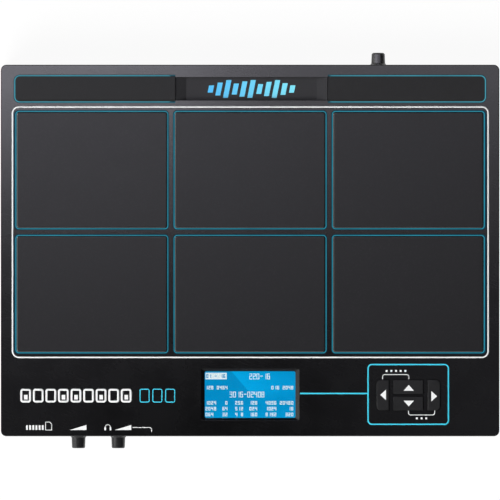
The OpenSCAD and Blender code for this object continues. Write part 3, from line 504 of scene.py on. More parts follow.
def makeLitScreen(look):  # backlit panel with a painted reflection: a lighter slanting field and a lighter band at the front
    tree, shader, grain = newFinish("litScreen", look, {"IOR": 1.2, "Emission Strength": 0.95})
    patch = grain["Patch"]
    place = split(tree, vectorCalc(tree, "SUBTRACT", objectPlace(tree), screenMid))
    fromRear = calc(tree, "SUBTRACT", lcd["depth"] / 2 * mm, place["Y"])
    line = scaled(tree, fromRear, look["sheenSlope"], look["sheenTop"])
    past = calc(tree, "SUBTRACT", place["X"], line)
    start = remap(tree, past, -look["sheenEdge"], look["sheenEdge"])
    # painted reflection: the slanting field that lightens the screen's light and colour
    paintedSheenField = calc(tree, "MULTIPLY", start, remap(tree, past, 0.0, look["sheenFade"], 1.0, 0.15))
    upper = remap(tree, place["Y"], *look["sheenDepth"], 0.25, 1.0, "SMOOTHSTEP")
    # painted reflection: lighter towards the front edge
    low = remap(tree, place["Y"], *look["paintedFrontSheen"], 0.55, 0.0)
    mask = calc(tree, "MAXIMUM", calc(tree, "MULTIPLY", paintedSheenField, upper), low)
    mask = calc(tree, "MULTIPLY_ADD", patch, 0.12, mask, clamp=True)
    linkAll(tree, shader, {"Emission Color": mixColours(tree, mask, look["blue"], look["sheen"])})
    dress(tree, shader, varied(tree, mask, look["blue"], 0.1, 0.14), roughness(tree, patch, look))


def makeScreenDots(look):  # lit dots, a little uneven
    tree, shader, grain = newFinish("screenDots", look, {"Emission Strength": 0.9})
    patch = grain["Patch"]
    linkAll(tree, shader, {"Emission Color": varied(tree, patch, look["colour"], 0.88, 1.0)})
    dress(tree, shader, varied(tree, patch, look["colour"], 0.12, 0.2), remap(tree, patch, 0.0, 1.0, 0.35, 0.5))


board = {
    "scale": 180.0,
    "mask": ((0.008, 0.07, 0.03, 1.0), (0.014, 0.11, 0.045, 1.0)),
    "track": (0.03, 0.2, 0.08, 1.0),
    "solder": (0.6, 0.58, 0.5, 1.0),
    "grain": 0.6, "patch": 12.0, "depth": 0.04, "rough": 0.32, "roughSpread": 0.12,
}


def makeBoardGreen(look):  # solder mask over copper tracks
    tree, shader, grain = newFinish("boardGreen", look, {})
    inputs = {"Vector": objectPlace(tree), "Scale": look["scale"]}
    near, second = (addNode(tree, "ShaderNodeTexVoronoi", inputs, distance="MANHATTAN", feature=feature)
                    .outputs["Distance"] for feature in ("F1", "F2"))
    edge = remap(tree, calc(tree, "SUBTRACT", second, near), 0.04, 0.12, 1.0, 0.0)
    spots = remap(tree, near, 0.1, 0.14, 1.0, 0.0)
    mask = mixColours(tree, grain["Patch"], *look["mask"])
    colour = mixColours(tree, spots, mixColours(tree, edge, mask, look["track"]), look["solder"])
    dress(tree, shader, colour, roughness(tree, edge, look), edge, look["depth"])


def bands(tree, scale, distortion):
    inputs = {"Vector": objectPlace(tree), "Scale": scale, "Distortion": distortion}
    return addNode(tree, "ShaderNodeTexWave", inputs).outputs["Fac"]


ribbon = {
    "scale": 250.0, "valleyShade": (0.22, 0.23, 0.25, 1.0), "ridge": (0.46, 0.47, 0.49, 1.0),
    "grain": 0.4, "patch": 10.0, "depth": 0.3, "rough": 0.4, "roughSpread": 0.15,
}


def makeRibbonGrey(look):  # flat cable, one ridge for each wire, darker in the valleys between wires as painted shade
    tree, shader, grain = newFinish("ribbonGrey", look, {})
    wires = bands(tree, look["scale"], 0.0)
    # painted shade: darker in the valleys between the wires
    colour = mixColours(tree, wires, look["valleyShade"], look["ridge"])
    dress(tree, shader, colour, roughness(tree, grain["Patch"], look), wires, look["depth"])


film = {
    "scale": 70.0,
    "amber": ((0.42, 0.22, 0.04, 1.0), (0.6, 0.34, 0.08, 1.0)),
    "silver": (0.55, 0.55, 0.53, 1.0),
    "grain": 0.5, "patch": 15.0, "depth": 0.02, "rough": 0.22, "roughSpread": 0.2,
}


def makeSensorFilm(look):  # amber film with silver finger tracks
    tree, shader, grain = newFinish("sensorFilm", look, {})
    track = remap(tree, bands(tree, look["scale"], 0.4), 0.62, 0.7)
    amber = mixColours(tree, grain["Patch"], *look["amber"])
    colour = mixColours(tree, track, amber, look["silver"])
    dress(tree, shader, colour, roughness(tree, track, look), track, look["depth"])


makeGlowRim("padGlow", glow, foldPads, "pad_1", padCorner)
makeGlowRim("stripGlowAndSheen", stripGlowAndSheen, foldStrips, "edge_pad_right", stripCorner)
makeBadgeInk(badge)
makeClearWindow(window)
makeLitScreen(screen)
makeScreenDots(litDots)
makeBoardGreen(board)
makeRibbonGrey(ribbon)
makeSensorFilm(film)
print("finishes built:", len(finishes))


# Mesh helpers

def addPiece(name, mesh, finish, body, replaces=()):
    mesh.name = name
    if finish:
        mesh.materials.clear()
        mesh.materials.append(finishes[finish])
    piece = addObject(name, mesh)
    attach(piece, body)
    if replaces:
        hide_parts(*replaces)


def rawMesh(name, points, edges=(), faces=()):
    mesh = bpy.data.meshes.new(name)
    mesh.from_pydata(points, edges, faces)
    return mesh


def meshFrom(shape, name):
    mesh = bpy.data.meshes.new(name)
    shape.to_mesh(mesh)
    shape.free()
    return mesh


def shapeMesh(mesh, modifiers=(), tree=None, values=None):  # runs a tree and modifiers, keeps the plain mesh
    holder = addObject("holder", mesh)
    if tree:
        grower = holder.modifiers.new(tree.name, "NODES")
        grower.node_group = tree
        for item in tree.interface.items_tree:
            if item.item_type == "SOCKET" and item.in_out == "INPUT" and item.name in values:
                grower[item.identifier] = values[item.name]
    for kind, settings in modifiers:
        modifier = holder.modifiers.new(kind.lower(), kind)
        for name, value in settings.items():
            setattr(modifier, name, value)
    bpy.context.view_layer.update()
    graph = bpy.context.evaluated_depsgraph_get()
    shaped = holder.evaluated_get(graph)
    plain = bpy.data.meshes.new_from_object(shaped, preserve_all_data_layers=True, depsgraph=graph)
    bpy.data.objects.remove(holder)
    return plain


softening = {
    "join": 2e-6,                # corners nearer than this are one
    "tiny": 1e-7,                # edges shorter than this go
    "flat": math.radians(0.6),   # faces that lean less than this become one
    "sharp": math.radians(32),   # edges that may be rounded
    "crease": math.radians(38),  # edges that stay crisp in the shading
}


def smoothFaces(mesh):
    mesh.polygons.foreach_set("use_smooth", [True] * len(mesh.polygons))
    mesh.set_sharp_from_angle(angle=softening["crease"])
    return shapeMesh(mesh, [("WEIGHTED_NORMAL", {"keep_sharp": True, "weight": 80})])


def softenedMesh(node, edges):  # a solid's mesh with its chosen sharp edges rounded
    shell = bmesh.new()
    shell.from_mesh(frame["nodes"][node].data)
    bmesh.ops.remove_doubles(shell, verts=shell.verts, dist=softening["join"])
    bmesh.ops.dissolve_limit(shell, angle_limit=softening["flat"], verts=shell.verts, edges=shell.edges)
    for choose, width, steps in edges:
        sharp = [e for e in shell.edges if len(e.link_faces) == 2 and e.calc_face_angle() > softening["sharp"]]
        chosen = [e for e in sharp if choose((e.verts[0].co + e.verts[1].co) / 2)]
        bmesh.ops.bevel(shell, geom=chosen, offset=width * mm, segments=steps, profile=0.5,
                        affect="EDGES", clamp_overlap=True)
    bmesh.ops.dissolve_degenerate(shell, dist=softening["tiny"], edges=shell.edges)
    return smoothFaces(meshFrom(shell, node))


def outwardFaces(mesh):
    shell = bmesh.new()
    shell.from_mesh(mesh)
    bmesh.ops.remove_doubles(shell, verts=shell.verts, dist=softening["tiny"])
    bmesh.ops.recalc_face_normals(shell, faces=shell.faces)
    shell.to_mesh(mesh)
    shell.free()
    return mesh


def shapeTree(name, inputs):
    tree = bpy.data.node_groups.new(name, "GeometryNodeTree")
    tree.is_modifier = True
    tree.interface.new_socket("Geometry", in_out="INPUT", socket_type="NodeSocketGeometry")
    for label, kind in inputs.items():
        tree.interface.new_socket(label, in_out="INPUT", socket_type="NodeSocket" + kind)
    tree.interface.new_socket("Material", in_out="INPUT", socket_type="NodeSocketMaterial")
    tree.interface.new_socket("Geometry", in_out="OUTPUT", socket_type="NodeSocketGeometry")
    return tree, tree.nodes.new("NodeGroupInput").outputs


def addShape(tree, kind, inputs=None, **settings):
    return addNode(tree, kind, inputs, **settings).outputs[0]


def endTree(tree, given, geometry):
    solid = addShape(tree, "GeometryNodeRealizeInstances", {"Geometry": geometry})
    painted = addShape(tree, "GeometryNodeSetMaterial", {"Geometry": solid, "Material": given["Material"]})
    addNode(tree, "NodeGroupOutput", {"Geometry": painted})
    return tree


# The two shells

shells = {
    "corner": 4.2 * mm,     # reach of the rounded corners in plan
    "level": 0.02 * mm,     # an edge this near to a level lies on it
    "outerEdge": 0.9,
    "openingEdge": 0.28,
    "funnelEdge": 0.9,      # the slanting corners around the display
    "funnelReach": (-0.5 * mm, 4 * mm),
    "funnelTop": 0.1 * mm,
    "seamEdge": 0.35,
}


def nearOutside(point):
    return abs(point.x) > caseHalf[0] - shells["corner"] or abs(point.y) > caseHalf[1] - shells["corner"]


def onTop(point):
    return point.z > topZ - shells["level"]


def onFunnel(point):
    near, far = shells["funnelReach"]
    x = abs(point.x - screenMid.x) - lcd["width"] / 2 * mm
    y = abs(point.y - screenMid.y) - lcd["depth"] / 2 * mm
    return near < x < far and near < y < far and topZ - far < point.z < topZ - shells["funnelTop"]


def makeShells(look):
    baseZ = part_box("bottom_case")[0].z
    seam = (lambda p: abs(p.z - caseLow.z) < look["level"] and nearOutside(p), look["seamEdge"], 2)
    upper = softenedMesh("top_case", [
        (onFunnel, look["funnelEdge"], 2),
        (lambda p: onTop(p) and nearOutside(p), look["outerEdge"], 4),
        (lambda p: onTop(p) and not nearOutside(p), look["openingEdge"], 2),
        seam,
    ])
    addPiece("upperShell", upper, "caseSatin", "case", ["top_case"])
    lower = softenedMesh("bottom_case", [
        (lambda p: abs(p.z - baseZ) < look["level"], look["outerEdge"] / 2, 3),
        seam,
    ])
    addPiece("lowerShell", lower, "baseBlack", "case", ["bottom_case"])


makeShells(shells)
print("shells made")


# Pads

pads = {
    "count": 6, "corner": padCorner, "cornerSteps": 8,
    "edge": 1.2 * mm, "edgeSteps": 4, "edgeAngle": math.radians(60),
}


def makePadTree(cornerSteps):
    tree, given = shapeTree("mouldedPad", {
        "Width": "Float", "Depth": "Float", "Height": "Float", "Corner": "Float", "Place": "Vector"})
    plan = {"Width": given["Width"], "Height": given["Depth"]}
    outline = addShape(tree, "GeometryNodeCurvePrimitiveQuadrilateral", plan)
    bend = {"Curve": outline, "Count": cornerSteps, "Radius": given["Corner"]}
    rounded = addShape(tree, "GeometryNodeFilletCurve", bend, mode="POLY")
    face = addShape(tree, "GeometryNodeFillCurve", {"Curve": rounded}, mode="NGONS")
    rise = {"Mesh": face, "Offset Scale": given["Height"], "Individual": False}
    block = addShape(tree, "GeometryNodeExtrudeMesh", rise)
    both = addNode(tree, "GeometryNodeJoinGeometry")
    tree.links.new(block, both.inputs[0])
    tree.links.new(addShape(tree, "GeometryNodeFlipFaces", {"Mesh": face}), both.inputs[0])
    closed = addShape(tree, "GeometryNodeMergeByDistance", {"Geometry": both.outputs[0], "Distance": 1e-6})
    place = {"Geometry": closed, "Name": "padPlace", "Value": addShape(tree, "GeometryNodeInputPosition")}
    kept = addShape(tree, "GeometryNodeStoreNamedAttribute", place, data_type="FLOAT_VECTOR")
    moved = {"Geometry": kept, "Translation": given["Place"]}
    return endTree(tree, given, addShape(tree, "GeometryNodeTransform", moved))


def makePads(look):
    tree = makePadTree(look["cornerSteps"])
    rounding = {"width": look["edge"], "segments": look["edgeSteps"], "limit_method": "ANGLE",
                "angle_limit": look["edgeAngle"]}
    for number in range(1, look["count"] + 1):
        low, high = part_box(f"pad_{number}")
        mesh = shapeMesh(bpy.data.meshes.new("start"), [("BEVEL", rounding)], tree, {
            "Width": high.x - low.x, "Depth": high.y - low.y, "Height": high.z - low.z, "Corner": look["corner"],
            "Place": ((low.x + high.x) / 2, (low.y + high.y) / 2, low.z), "Material": finishes["padRubber"]})
        mesh = smoothFaces(outwardFaces(mesh))
        addPiece(f"padRubber{number}", mesh, None, f"pad_unit_{number}", [f"pad_{number}"])


makePads(pads)
print("pads made")


# Strips, tray, keys, knobs and feet

roundings = {  # which edges are rounded, width in millimetres, steps
    "strip": (lambda p: p.z > topZ - 0.5 * mm, 0.45, 3),
    "tray": (lambda p: p.z > topZ - 4 * mm, 0.12, 2),
    "key": (lambda p: p.z > topZ + 0.5 * mm, 0.4, 3),
    "knob": (lambda p: True, 0.18, 2),
    "foot": (lambda p: p.z < 3 * mm, 0.35, 2),
}


def soften(name, node, rounding, finish, body):
    addPiece(name, softenedMesh(node, [roundings[rounding]]), finish, body, [node])


for side in ("left", "right"):
    soften(f"edgeStrip_{side}", f"edge_pad_{side}", "strip", "stripRubber", f"edge_unit_{side}")
soften("sunkenTray", "badge_plate", "tray", "traySatin", "case")
for name in keyNames:
    soften(f"key_{name}", f"button_{name}", "key", "keyRubber", f"key_{name}")
for name in knobNames:
    soften(f"turningKnob_{name}", f"knob_{name}", "knob", "knobSoft", f"dial_{name}")
soften("rubberFeet", "rubber_feet", "foot", "footRubber", "case")
print("strips, tray, keys, knobs and feet made")


# Printed lines and marks, in millimetres

ink = {"thickness": 0.05, "sink": 0.02, "cornerSteps": 8}
inkLevels = (-ink["sink"] * mm, (ink["thickness"] - ink["sink"]) * mm)


def makeInkTree():
    tree, given = shapeTree("inkLine", {"Width": "Float", "Thickness": "Float", "Corner": "Float"})
    path = addShape(tree, "GeometryNodeMeshToCurve", {"Mesh": given["Geometry"]})
    bend = {"Curve": path, "Count": ink["cornerSteps"], "Radius": given["Corner"], "Limit Radius": True}
    rounded = addShape(tree, "GeometryNodeFilletCurve", bend, mode="POLY")
    level = addShape(tree, "GeometryNodeSetCurveNormal", {"Curve": rounded}, mode="Z_UP")
    size = {"Width": given["Width"], "Height": given["Thickness"]}
    section = addShape(tree, "GeometryNodeCurvePrimitiveQuadrilateral", size)
    sweep = {"Curve": level, "Profile Curve": section, "Fill Caps": True}
    return endTree(tree, given, addShape(tree, "GeometryNodeCurveToMesh", sweep))


inkTree = makeInkTree()


def printLines(name, strokes, width, corner, finish="whiteInk"):  # a closed stroke ends where it starts
    points, edges = [], []
    for stroke in strokes:
        closed = stroke[0] == stroke[-1]
        first = len(points)
        points += [(x * mm, y * mm, topZ + sum(inkLevels) / 2) for x, y in (stroke[:-1] if closed else stroke)]
        edges += [(i, i + 1) for i in range(first, len(points) - 1)]
        if closed:
            edges.append((len(points) - 1, first))
    mesh = shapeMesh(rawMesh("strokes", points, edges), (), inkTree, {
        "Width": width * mm, "Thickness": ink["thickness"] * mm, "Corner": corner * mm,
        "Material": finishes[finish]})
    addPiece(name, outwardFaces(mesh), None, "case")


def printBlocks(name, blocks, finish, body):  # a block is its inner and its outer outline
    shape = bmesh.new()
    for block in blocks:
        inner, outer = ([shape.verts.new(point) for point in outline] for outline in block)
        shape.faces.new(inner)
        shape.faces.new(outer)
        for i in range(len(inner)):
            j = (i + 1) % len(inner)
            shape.faces.new([inner[i], inner[j], outer[j], outer[i]])
    bmesh.ops.recalc_face_normals(shape, faces=shape.faces)
    addPiece(name, meshFrom(shape, name), finish, body)


def printShapes(name, outlines, body="case", z=topZ, finish="whiteInk"):
    blocks = [[[(x * mm, y * mm, z + level) for x, y in outline] for level in inkLevels] for outline in outlines]
    printBlocks(name, blocks, finish, body)


def printUpright(name, outlines, wallY, body):  # outlines are in x and z
    out = math.copysign(1.0, wallY)
    blocks = [[[(x * mm, wallY + out * level, z * mm) for x, z in outline] for level in inkLevels]
              for outline in outlines]
    printBlocks(name, blocks, "whiteInk", body)


quarters = ((-1, -1), (1, -1), (1, 1), (-1, 1))  # a rectangle's corners, in order


def rectangle(x, y, width, depth):
    return [(x + a * width / 2, y + b * depth / 2) for a, b in quarters]


def boxStroke(x, y, width, depth):
    corners = rectangle(x, y, width, depth)
    return corners + corners[:1]


lines = {
    "borderLine": {"strokes": [boxStroke(0.2, 13.4, 346.3, 182.3)], "width": 1.1, "corner": 4.6},
    "keyFrameLine": {"strokes": [boxStroke(115.2, -104.7, 58.5, 43.5)], "width": 1.1, "corner": 2.9,
                     "finish": "cyanInk"},
    "linkLine": {"strokes": [[(36.4, -104.0), (85.4, -104.0)]], "width": 1.15, "corner": 0.0,
                 "finish": "cyanInk"},
    "keyBrackets": {"strokes": [
        [(96.5, -93.7), (96.5, -90.3), (115.6, -90.3), (115.6, -93.7)],
        [(115.3, -116.6), (115.3, -119.7), (134.4, -119.7), (134.4, -116.6)],
        [(-85.5, -128.8), (-71.7, -128.8), (-71.7, -132.2)],  # leads to the headphone jack
    ], "width": 0.55, "corner": 1.6},
    "cardMark": {"strokes": [
        [(-148.9, -124.9), (-145.9, -124.9), (-144.4, -126.4), (-144.4, -130.7), (-148.9, -130.7), (-148.9, -124.9)],
    ], "width": 0.5, "corner": 0.25},
}
for name, look in lines.items():
    printLines(name, **look)

marks = {
    "beats": {"first": -163.325, "pitch": 9.15, "count": 9, "y": -105.6, "cell": (6.4, 8.6), "line": 1.5},
    "hits": {"cells": (0, 3, 4, 6, 8), "y": -106.8, "size": (2.6, 3.4)},
    "thinBeats": {"first": -76.75, "pitch": 9.3, "count": 3, "y": -105.6, "cell": (6.6, 9.4), "line": 0.75},
    "cellCorner": 1.2,
    "wedges": [(-131.3, -119.1), (-98.6, -86.5)],  # a rising level beside each knob
    "wedgeLevels": (-130.7, -127.0),
    "contacts": {"first": -162.45, "pitch": 2.3, "count": 6, "y": -128.9, "cell": (1.3, 3.4)},
    "dots": {"first": 99.4, "pitch": 3.4, "count": 5, "y": -87.7, "cell": (1.4, 1.4)},
    "bars": {"first": 121.4, "pitch": 3.4, "count": 3, "y": -122.2, "cell": (1.4, 1.4)},
    "headset": {"x": -103.6, "cupY": -129.8, "cup": (1.2, 2.2), "bandY": -128.7, "radius": 1.9, "line": 0.5,
                "steps": 8},
}


def rowPlaces(row):
    return [row["first"] + i * row["pitch"] for i in range(row["count"])]


def printCells(name, row, finish="whiteInk"):
    cells = [boxStroke(x, row["y"], *row["cell"]) for x in rowPlaces(row)]
    printLines(name, cells, row["line"], marks["cellCorner"], finish)


def makeMarks(look):
    hits, headset = look["hits"], look["headset"]
    cellsX = rowPlaces(look["beats"])
    printCells("beatCells", look["beats"])
    printShapes("beatHits", [rectangle(cellsX[i], hits["y"], *hits["size"]) for i in hits["cells"]])
    printCells("thinCells", look["thinBeats"], "cyanInk")
    low, high = look["wedgeLevels"]
    shapes = [[(left, low), (right, low), (right, high)] for left, right in look["wedges"]]
    for row in (look["contacts"], look["dots"], look["bars"]):
        shapes += [rectangle(x, row["y"], *row["cell"]) for x in rowPlaces(row)]
    x, radius = headset["x"], headset["radius"]
    shapes += [rectangle(x + side * radius, headset["cupY"], *headset["cup"]) for side in (-1, 1)]
    printShapes("smallMarks", shapes)
    turns = [math.pi * i / headset["steps"] for i in range(headset["steps"] + 1)]
    band = [(x + radius * math.cos(a), headset["bandY"] + radius * math.sin(a)) for a in turns]
    printLines("headsetBand", [band], headset["line"], 0.0)


upright = {  # marks and rings on the front and rear walls
    "knobLine": (0.8, 2.5, 2.3),  # width, length and the height of its middle above the axis
    "powerRing": (1.55, 0.42),    # radius and line width
    "powerGap": 0.62,             # half the open angle
    "powerSteps": 24,
    "powerBar": (0.75, 1.1),      # height and length, as shares of the radius
    "jackRing": {"inner": 3.45, "outer": 4.7, "proud": 0.35, "sink": 0.15, "steps": 48, "edge": 0.12 * mm,
                 "edgeSteps": 3},
}


def makeUpright(look):
    wide, long, up = look["knobLine"]
    for name in knobNames:
        low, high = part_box(f"knob_{name}")
        axis = middle(f"knob_{name}") / mm
        wallY = high.y if name == "rear" else low.y
        line = rectangle(axis.x, axis.z + up, wide, long)
        printUpright(f"knobLine_{name}", [line], wallY, f"dial_{name}")
    axis = middle("power_button") / mm
    radius, line = look["powerRing"]
    gap, steps = look["powerGap"], look["powerSteps"]
    turns = [math.pi / 2 + gap + (2 * math.pi - 2 * gap) * i / steps for i in range(steps + 1)]
    inner, outer = ([(axis.x + r * math.cos(a), axis.z + r * math.sin(a)) for a in turns]
                    for r in (radius - line / 2, radius + line / 2))
    up, long = (share * radius for share in look["powerBar"])
    bar = rectangle(axis.x, axis.z + up, line, long)
    printUpright("powerMark", [inner + outer[::-1], bar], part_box("power_button")[1].y, "power_key")


def makeRingTree(look):
    tree, given = shapeTree("jackRing", {"Radius": "Float", "Width": "Float", "Depth": "Float"})
    circle = {"Resolution": look["steps"], "Radius": given["Radius"]}
    around = addShape(tree, "GeometryNodeCurvePrimitiveCircle", circle)
    size = {"Width": given["Width"], "Height": given["Depth"]}
    section = addShape(tree, "GeometryNodeCurvePrimitiveQuadrilateral", size)
    bend = {"Curve": section, "Count": look["edgeSteps"], "Radius": look["edge"]}
    eased = addShape(tree, "GeometryNodeFilletCurve", bend, mode="POLY")
    ring = addShape(tree, "GeometryNodeCurveToMesh", {"Curve": around, "Profile Curve": eased})
    return endTree(tree, given, addShape(tree, "GeometryNodeInstanceOnPoints", {
        "Points": given["Geometry"], "Instance": ring, "Rotation": (math.pi / 2, 0.0, 0.0)}))


def makeJackRings(ring):
    away = (ring["proud"] - ring["sink"]) / 2 * mm
    bores = [mount for mount in frame["record"]["mounts"] if mount["kind"] == "bore"]
    places = [Vector(bore["pos_m"]) + Vector(bore["axis"]) * away for bore in bores]
    mesh = shapeMesh(rawMesh("jackPoints", places), (), makeRingTree(ring), {
        "Radius": (ring["inner"] + ring["outer"]) / 2 * mm, "Width": (ring["outer"] - ring["inner"]) * mm,
        "Depth": (ring["proud"] + ring["sink"]) * mm, "Material": finishes["nickelPlate"]})
    addPiece("jackRings", smoothFaces(outwardFaces(mesh)), None, "case")


wave = {  # slanted bars on the tray
    "left": -32.8, "right": 34.9, "front": 111.1, "rear": 124.1, "slant": 2.6, "share": 0.62,
    "heights": (0.4, 0.72, 1.0, 0.62, 0.86, 1.0, 0.55, 0.8, 1.0, 0.66, 0.42),
    "trayDepth": 3.2 * mm,
}


def makeWave(look):
    step = (look["right"] - look["left"] - look["slant"]) / len(look["heights"])
    middleY = (look["front"] + look["rear"]) / 2
    wide = step * look["share"] / 2
    outlines = []
    for i, share in enumerate(look["heights"]):
        x = look["left"] + look["slant"] / 2 + (i + 0.5) * step
        half = share * (look["rear"] - look["front"]) / 2
        lean = look["slant"] / 2 * share
        outlines.append([(x + a * wide + b * lean, middleY + b * half) for a, b in quarters])
    printShapes("trayWave", outlines, z=topZ - look["trayDepth"], finish="badgeInk")


arrows = {
    "long": 4.2,
    "half": 3.8,
    "places": {"left": (96.8, -105.1), "right": (134.0, -106.1), "up": (115.5, -100.0), "down": (115.5, -111.4)},
    "towards": {"left": (-1, 0), "right": (1, 0), "up": (0, 1), "down": (0, -1)},
}


def makeArrows(look):
    half, reach = look["half"], look["long"] / 2
    for name, (x, y) in look["places"].items():
        dx, dy = look["towards"][name]
        outline = [(x + dx * reach, y + dy * reach), (x - dx * reach - dy * half, y - dy * reach + dx * half),
                   (x - dx * reach + dy * half, y - dy * reach - dx * half)]
        printShapes(f"arrow_{name}", [outline], f"key_{name}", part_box(f"button_{name}")[1].z)


makeMarks(marks)
makeUpright(upright)
makeJackRings(upright["jackRing"])
makeWave(wave)
makeArrows(arrows)
print("prints made")


# Display

digitStrokes = {
    "0": "abcdef", "1": "bc", "2": "abged", "3": "abgcd", "4": "fgbc", "5": "afgcd",
    "6": "afgedc", "7": "abc", "8": "abcdefg", "9": "abcdfg", "-": "g",
}
smallDigit = (3, 5)  # columns and rows
tallDigit = (4, 8)
screenRows = {  # column, row from the front, digits
    tallDigit: [(63, 53, "220-16"), (35, 28, "3016-02408")],
    smallDigit: [
        (1, 39, "128 0464"), (94, 39, "016 2048"),
        (1, 18, "1024   0"), (43, 18, "256  128"), (86, 18, "4096 20480"),
        (1, 10, "2048  64"), (43, 10, "512  024"), (86, 10, "1024    16"),
        (1, 2, "064   32"), (43, 2, "4 8  160"), (86, 2, "8192   320"),
    ],
}
invertedBlock = {"from": (1, 53), "to": (30, 61), "digits": (2, 55, "01 - 16")}


def digitDots(size, column, row, digits):
    wide, high = size
    half = high // 2
    across, upper, lower = range(wide), range(half, high), range(half + 1)
    segments = {
        "a": [(x, high - 1) for x in across], "g": [(x, half) for x in across], "d": [(x, 0) for x in across],
        "f": [(0, y) for y in upper], "b": [(wide - 1, y) for y in upper],
        "e": [(0, y) for y in lower], "c": [(wide - 1, y) for y in lower],
    }
    dots = set()
    for place, digit in enumerate(digits):
        for segment in digitStrokes.get(digit, ""):
            dots |= {(column + place * (wide + 1) + x, row + y) for x, y in segments[segment]}
    return dots


def makeDotTree():
    tree, given = shapeTree("screenDots", {"Dot Size": "Vector"})
    dot = addShape(tree, "GeometryNodeMeshCube", {"Size": given["Dot Size"]})
    dots = {"Points": given["Geometry"], "Instance": dot}
    return endTree(tree, given, addShape(tree, "GeometryNodeInstanceOnPoints", dots))


def makeScreen(look):
    low, high = screenLow.copy(), screenHigh.copy()
    high.z = glassLow.z - look["behindGlass"]
    block = bmesh.new()
    bmesh.ops.create_cube(block, size=1.0)
    for vert in block.verts:
        vert.co = (low + high) / 2 + Vector(c * s for c, s in zip(vert.co, high - low))
    bmesh.ops.bevel(block, geom=block.edges[:], offset=look["edge"], segments=look["edgeSteps"], profile=0.5,
                    affect="EDGES")
    mesh = smoothFaces(meshFrom(block, "screen"))
    addPiece("screenPanel", mesh, "litScreen", "case", ["display_panel"])


def makeDots(look):
    lit = set()
    for size, rows in screenRows.items():
        for row in rows:
            lit |= digitDots(size, *row)
    (x0, y0), (x1, y1) = invertedBlock["from"], invertedBlock["to"]
    block = {(x, y) for x in range(x0, x1 + 1) for y in range(y0, y1 + 1)}
    lit |= block - digitDots(smallDigit, *invertedBlock["digits"])
    pitchX, pitchY = lcd["width"] / lcd["columns"] * mm, lcd["depth"] / lcd["rows"] * mm
    corner = screenMid - Vector((lcd["width"] / 2, lcd["depth"] / 2, 0)) * mm
    z = glassLow.z - screen["behindGlass"] / 2
    places = [(corner.x + (x + 0.5) * pitchX, corner.y + (y + 0.5) * pitchY, z) for x, y in sorted(lit)]
    share = look["share"]
    mesh = shapeMesh(rawMesh("dotPoints", places), (), makeDotTree(), {
        "Dot Size": (pitchX * share, pitchY * share, look["height"]), "Material": finishes["screenDots"]})
    addPiece("screenDots", mesh, None, "case")


makeScreen(screen)
makeDots(litDots)
print("display made")


# Finishes of the solids that stay as they are

keptSolids = {
    "padGlow": ["pad_light_guide"],
    "stripGlowAndSheen": ["edge_light_guides"],
    "clearWindow": ["display_window"],
    "boardGreen": ["display_board", "button_board", "main_board", "front_board"],
    "plainSteel": [f"shaft_{name}" for name in knobNames],
    # these plates show only in the gaps beside the pads, where their dark colour is painted shade
    "gapShadeSteel": ["edge_plate_left", "edge_plate_right", *(f"pad_plate_{i + 1}" for i in range(pads["count"]))],
    "nickelPlate": ["tact_switches", "card_slot", "usb_socket"],
    "controlBody": ["potentiometers"],
    "nylonBlack": ["phones_jack", "output_jacks", "trigger_jacks", "midi_socket", "dc_socket", "power_switch"],
    "knobSoft": ["power_button"],
    "ribbonGrey": ["ribbon_cable"],
    "headerIvory": ["ribbon_headers"],
    "turnedBrass": ["mount_inserts"],
    "blackScrew": ["case_screws", "deck_screws", "board_screws"],
    "deckGrey": ["sensor_deck"],
    "sensorFilm": ["force_sensors"],
    "foamGrey": ["pad_foam"],
    "ledLens": ["glow_leds"],
}
for finish, members in keptSolids.items():
    for node in members:
        solid = frame["nodes"][node].data
        solid.materials.clear()
        solid.materials.append(finishes[finish])
print("solids painted:", sum(len(members) for members in keptSolids.values()))


# Studio

studio = {
    "floorSize": 40.0,
    "floorColour": (0.86, 0.86, 0.86, 1.0),
    "floorGlow": 0.9,       # share of the floor's look that is plain white
    "white": 1.05,
    "zenith": 0.0056,
    "horizon": 0.0076,
    "glow": 0.9,            # extra light low down on the lit side
    "litSide": (-0.8, -0.6, 0.0),
    "sideBand": (0.1, 0.9),
    "lowBand": (0.3, 0.85),
}
lamps = {  # place, aim and size in metres, power in watts
    "baseLight": {"place": (-0.9, -1.5, 2.2), "aim": (0.0, 0.0, 0.0), "size": (2.0, 2.0), "power": 95.0,
                  "glossy": False},
    "frontKnobSheen": {"place": (-0.464, -0.185, 0.237), "aim": (-0.11, -0.143, 0.025), "size": (0.09, 0.34),
                       "power": 0.24, "diffuse": False},
    "rearKnobSheen": {"place": (-0.471, 0.195, 0.23), "aim": (0.093, 0.142, 0.025), "size": (0.09, 0.34),
                      "power": 0.48, "diffuse": False},
}
sheen = {  # soft panels overhead that only gloss shows: left, right, front and rear edges, brightness
    "height": 0.45,
    "tint": (1.0, 0.98, 1.1),
    "panels": [(-0.46, -0.03, 0.1, 0.44, 4.6), (-0.46, 0.0, 0.03, 0.1, 1.6), (-0.46, 0.0, -0.06, 0.03, 0.3),
               (-0.03, 0.4, 0.1, 0.44, 1.95), (0.0, 0.4, 0.0, 0.1, 0.7), (0.08, 0.4, -0.3, 0.0, 0.17),
               (-0.46, -0.12, -0.3, -0.06, 0.12)],
}


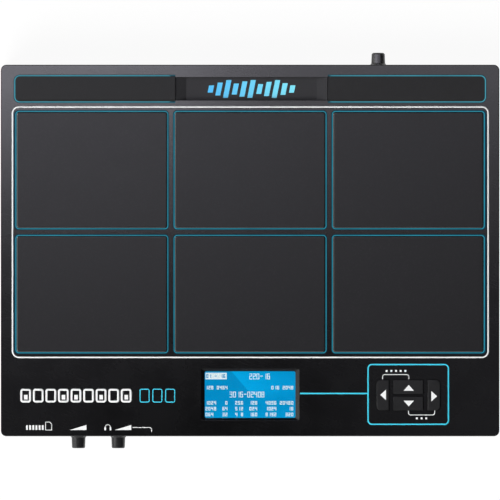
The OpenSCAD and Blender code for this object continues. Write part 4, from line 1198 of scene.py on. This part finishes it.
def makeFloor(look):
    half = look["floorSize"] / 2
    corners = [(a * half, b * half, 0) for a, b in quarters]
    mesh = rawMesh("studioFloor", corners, faces=[(0, 1, 2, 3)])
    floor = addObject("studioFloor", mesh)
    tree, shader = newMaterial("paleFloor", {
        "Base Color": look["floorColour"], "Roughness": 0.9, "Specular IOR Level": 0.0})
    path = addNode(tree, "ShaderNodeLightPath").outputs
    seen = calc(tree, "MAXIMUM", path["Is Glossy Ray"], path["Is Transmission Ray"])
    seen = calc(tree, "MAXIMUM", path["Is Camera Ray"], seen)
    plain = addNode(tree, "ShaderNodeEmission", {"Color": white, "Strength": look["white"]}).outputs[0]
    share = calc(tree, "MULTIPLY", seen, look["floorGlow"])
    mixed = addNode(tree, "ShaderNodeMixShader", {0: share, 1: shader.outputs[0], 2: plain})
    linkAll(tree, tree.nodes["Material Output"], {"Surface": mixed.outputs[0]})
    mesh.materials.append(finishes["paleFloor"])


def makeWorld(look):  # dark overhead, lighter low down on one side
    world = bpy.data.worlds.new("studioSky")
    scene.world = world
    world.use_nodes = True
    tree = world.node_tree
    direction = addNode(tree, "ShaderNodeTexCoord").outputs["Generated"]
    up = split(tree, direction)["Z"]
    facing = vectorCalc(tree, "DOT_PRODUCT", direction, look["litSide"], out="Value")
    low = remap(tree, up, *look["lowBand"], 1.0, 0.0, "SMOOTHSTEP")
    side = remap(tree, facing, *look["sideBand"], 0.0, look["glow"], "SMOOTHSTEP")
    even = remap(tree, up, 0.0, look["lowBand"][1], look["horizon"], look["zenith"], "SMOOTHSTEP")
    sky = tree.nodes["Background"]
    sky.inputs["Color"].default_value = white
    linkAll(tree, sky, {"Strength": scaled(tree, low, side, even)})


def makeLamps(looks):
    for name, look in looks.items():
        data = bpy.data.lights.new(name, "AREA")
        data.shape = "RECTANGLE"
        data.size, data.size_y = look["size"]
        data.energy = look["power"]
        data.color = look.get("tint", white[:3])
        lamp = addObject(name, data)
        lamp.visible_glossy = lamp.visible_transmission = look.get("glossy", True)
        lamp.visible_diffuse = look.get("diffuse", True)
        lamp.location = look["place"]
        lamp.rotation_euler = (Vector(look["aim"]) - Vector(look["place"])).to_track_quat("-Z", "Y").to_euler()


def sheenLamps(look):
    panels = {}
    for number, (left, right, front, rear, bright) in enumerate(look["panels"], 1):
        x, y, wide, deep = (left + right) / 2, (front + rear) / 2, right - left, rear - front
        panels[f"sheen{number}"] = {
            "place": (x, y, look["height"]), "aim": (x, y, 0.0), "size": (wide, deep), "tint": look["tint"],
            "power": bright * math.pi * wide * deep, "diffuse": False}
    return panels


makeFloor(studio)
makeWorld(studio)
makeLamps(lamps | sheenLamps(sheen))
print("studio lit")
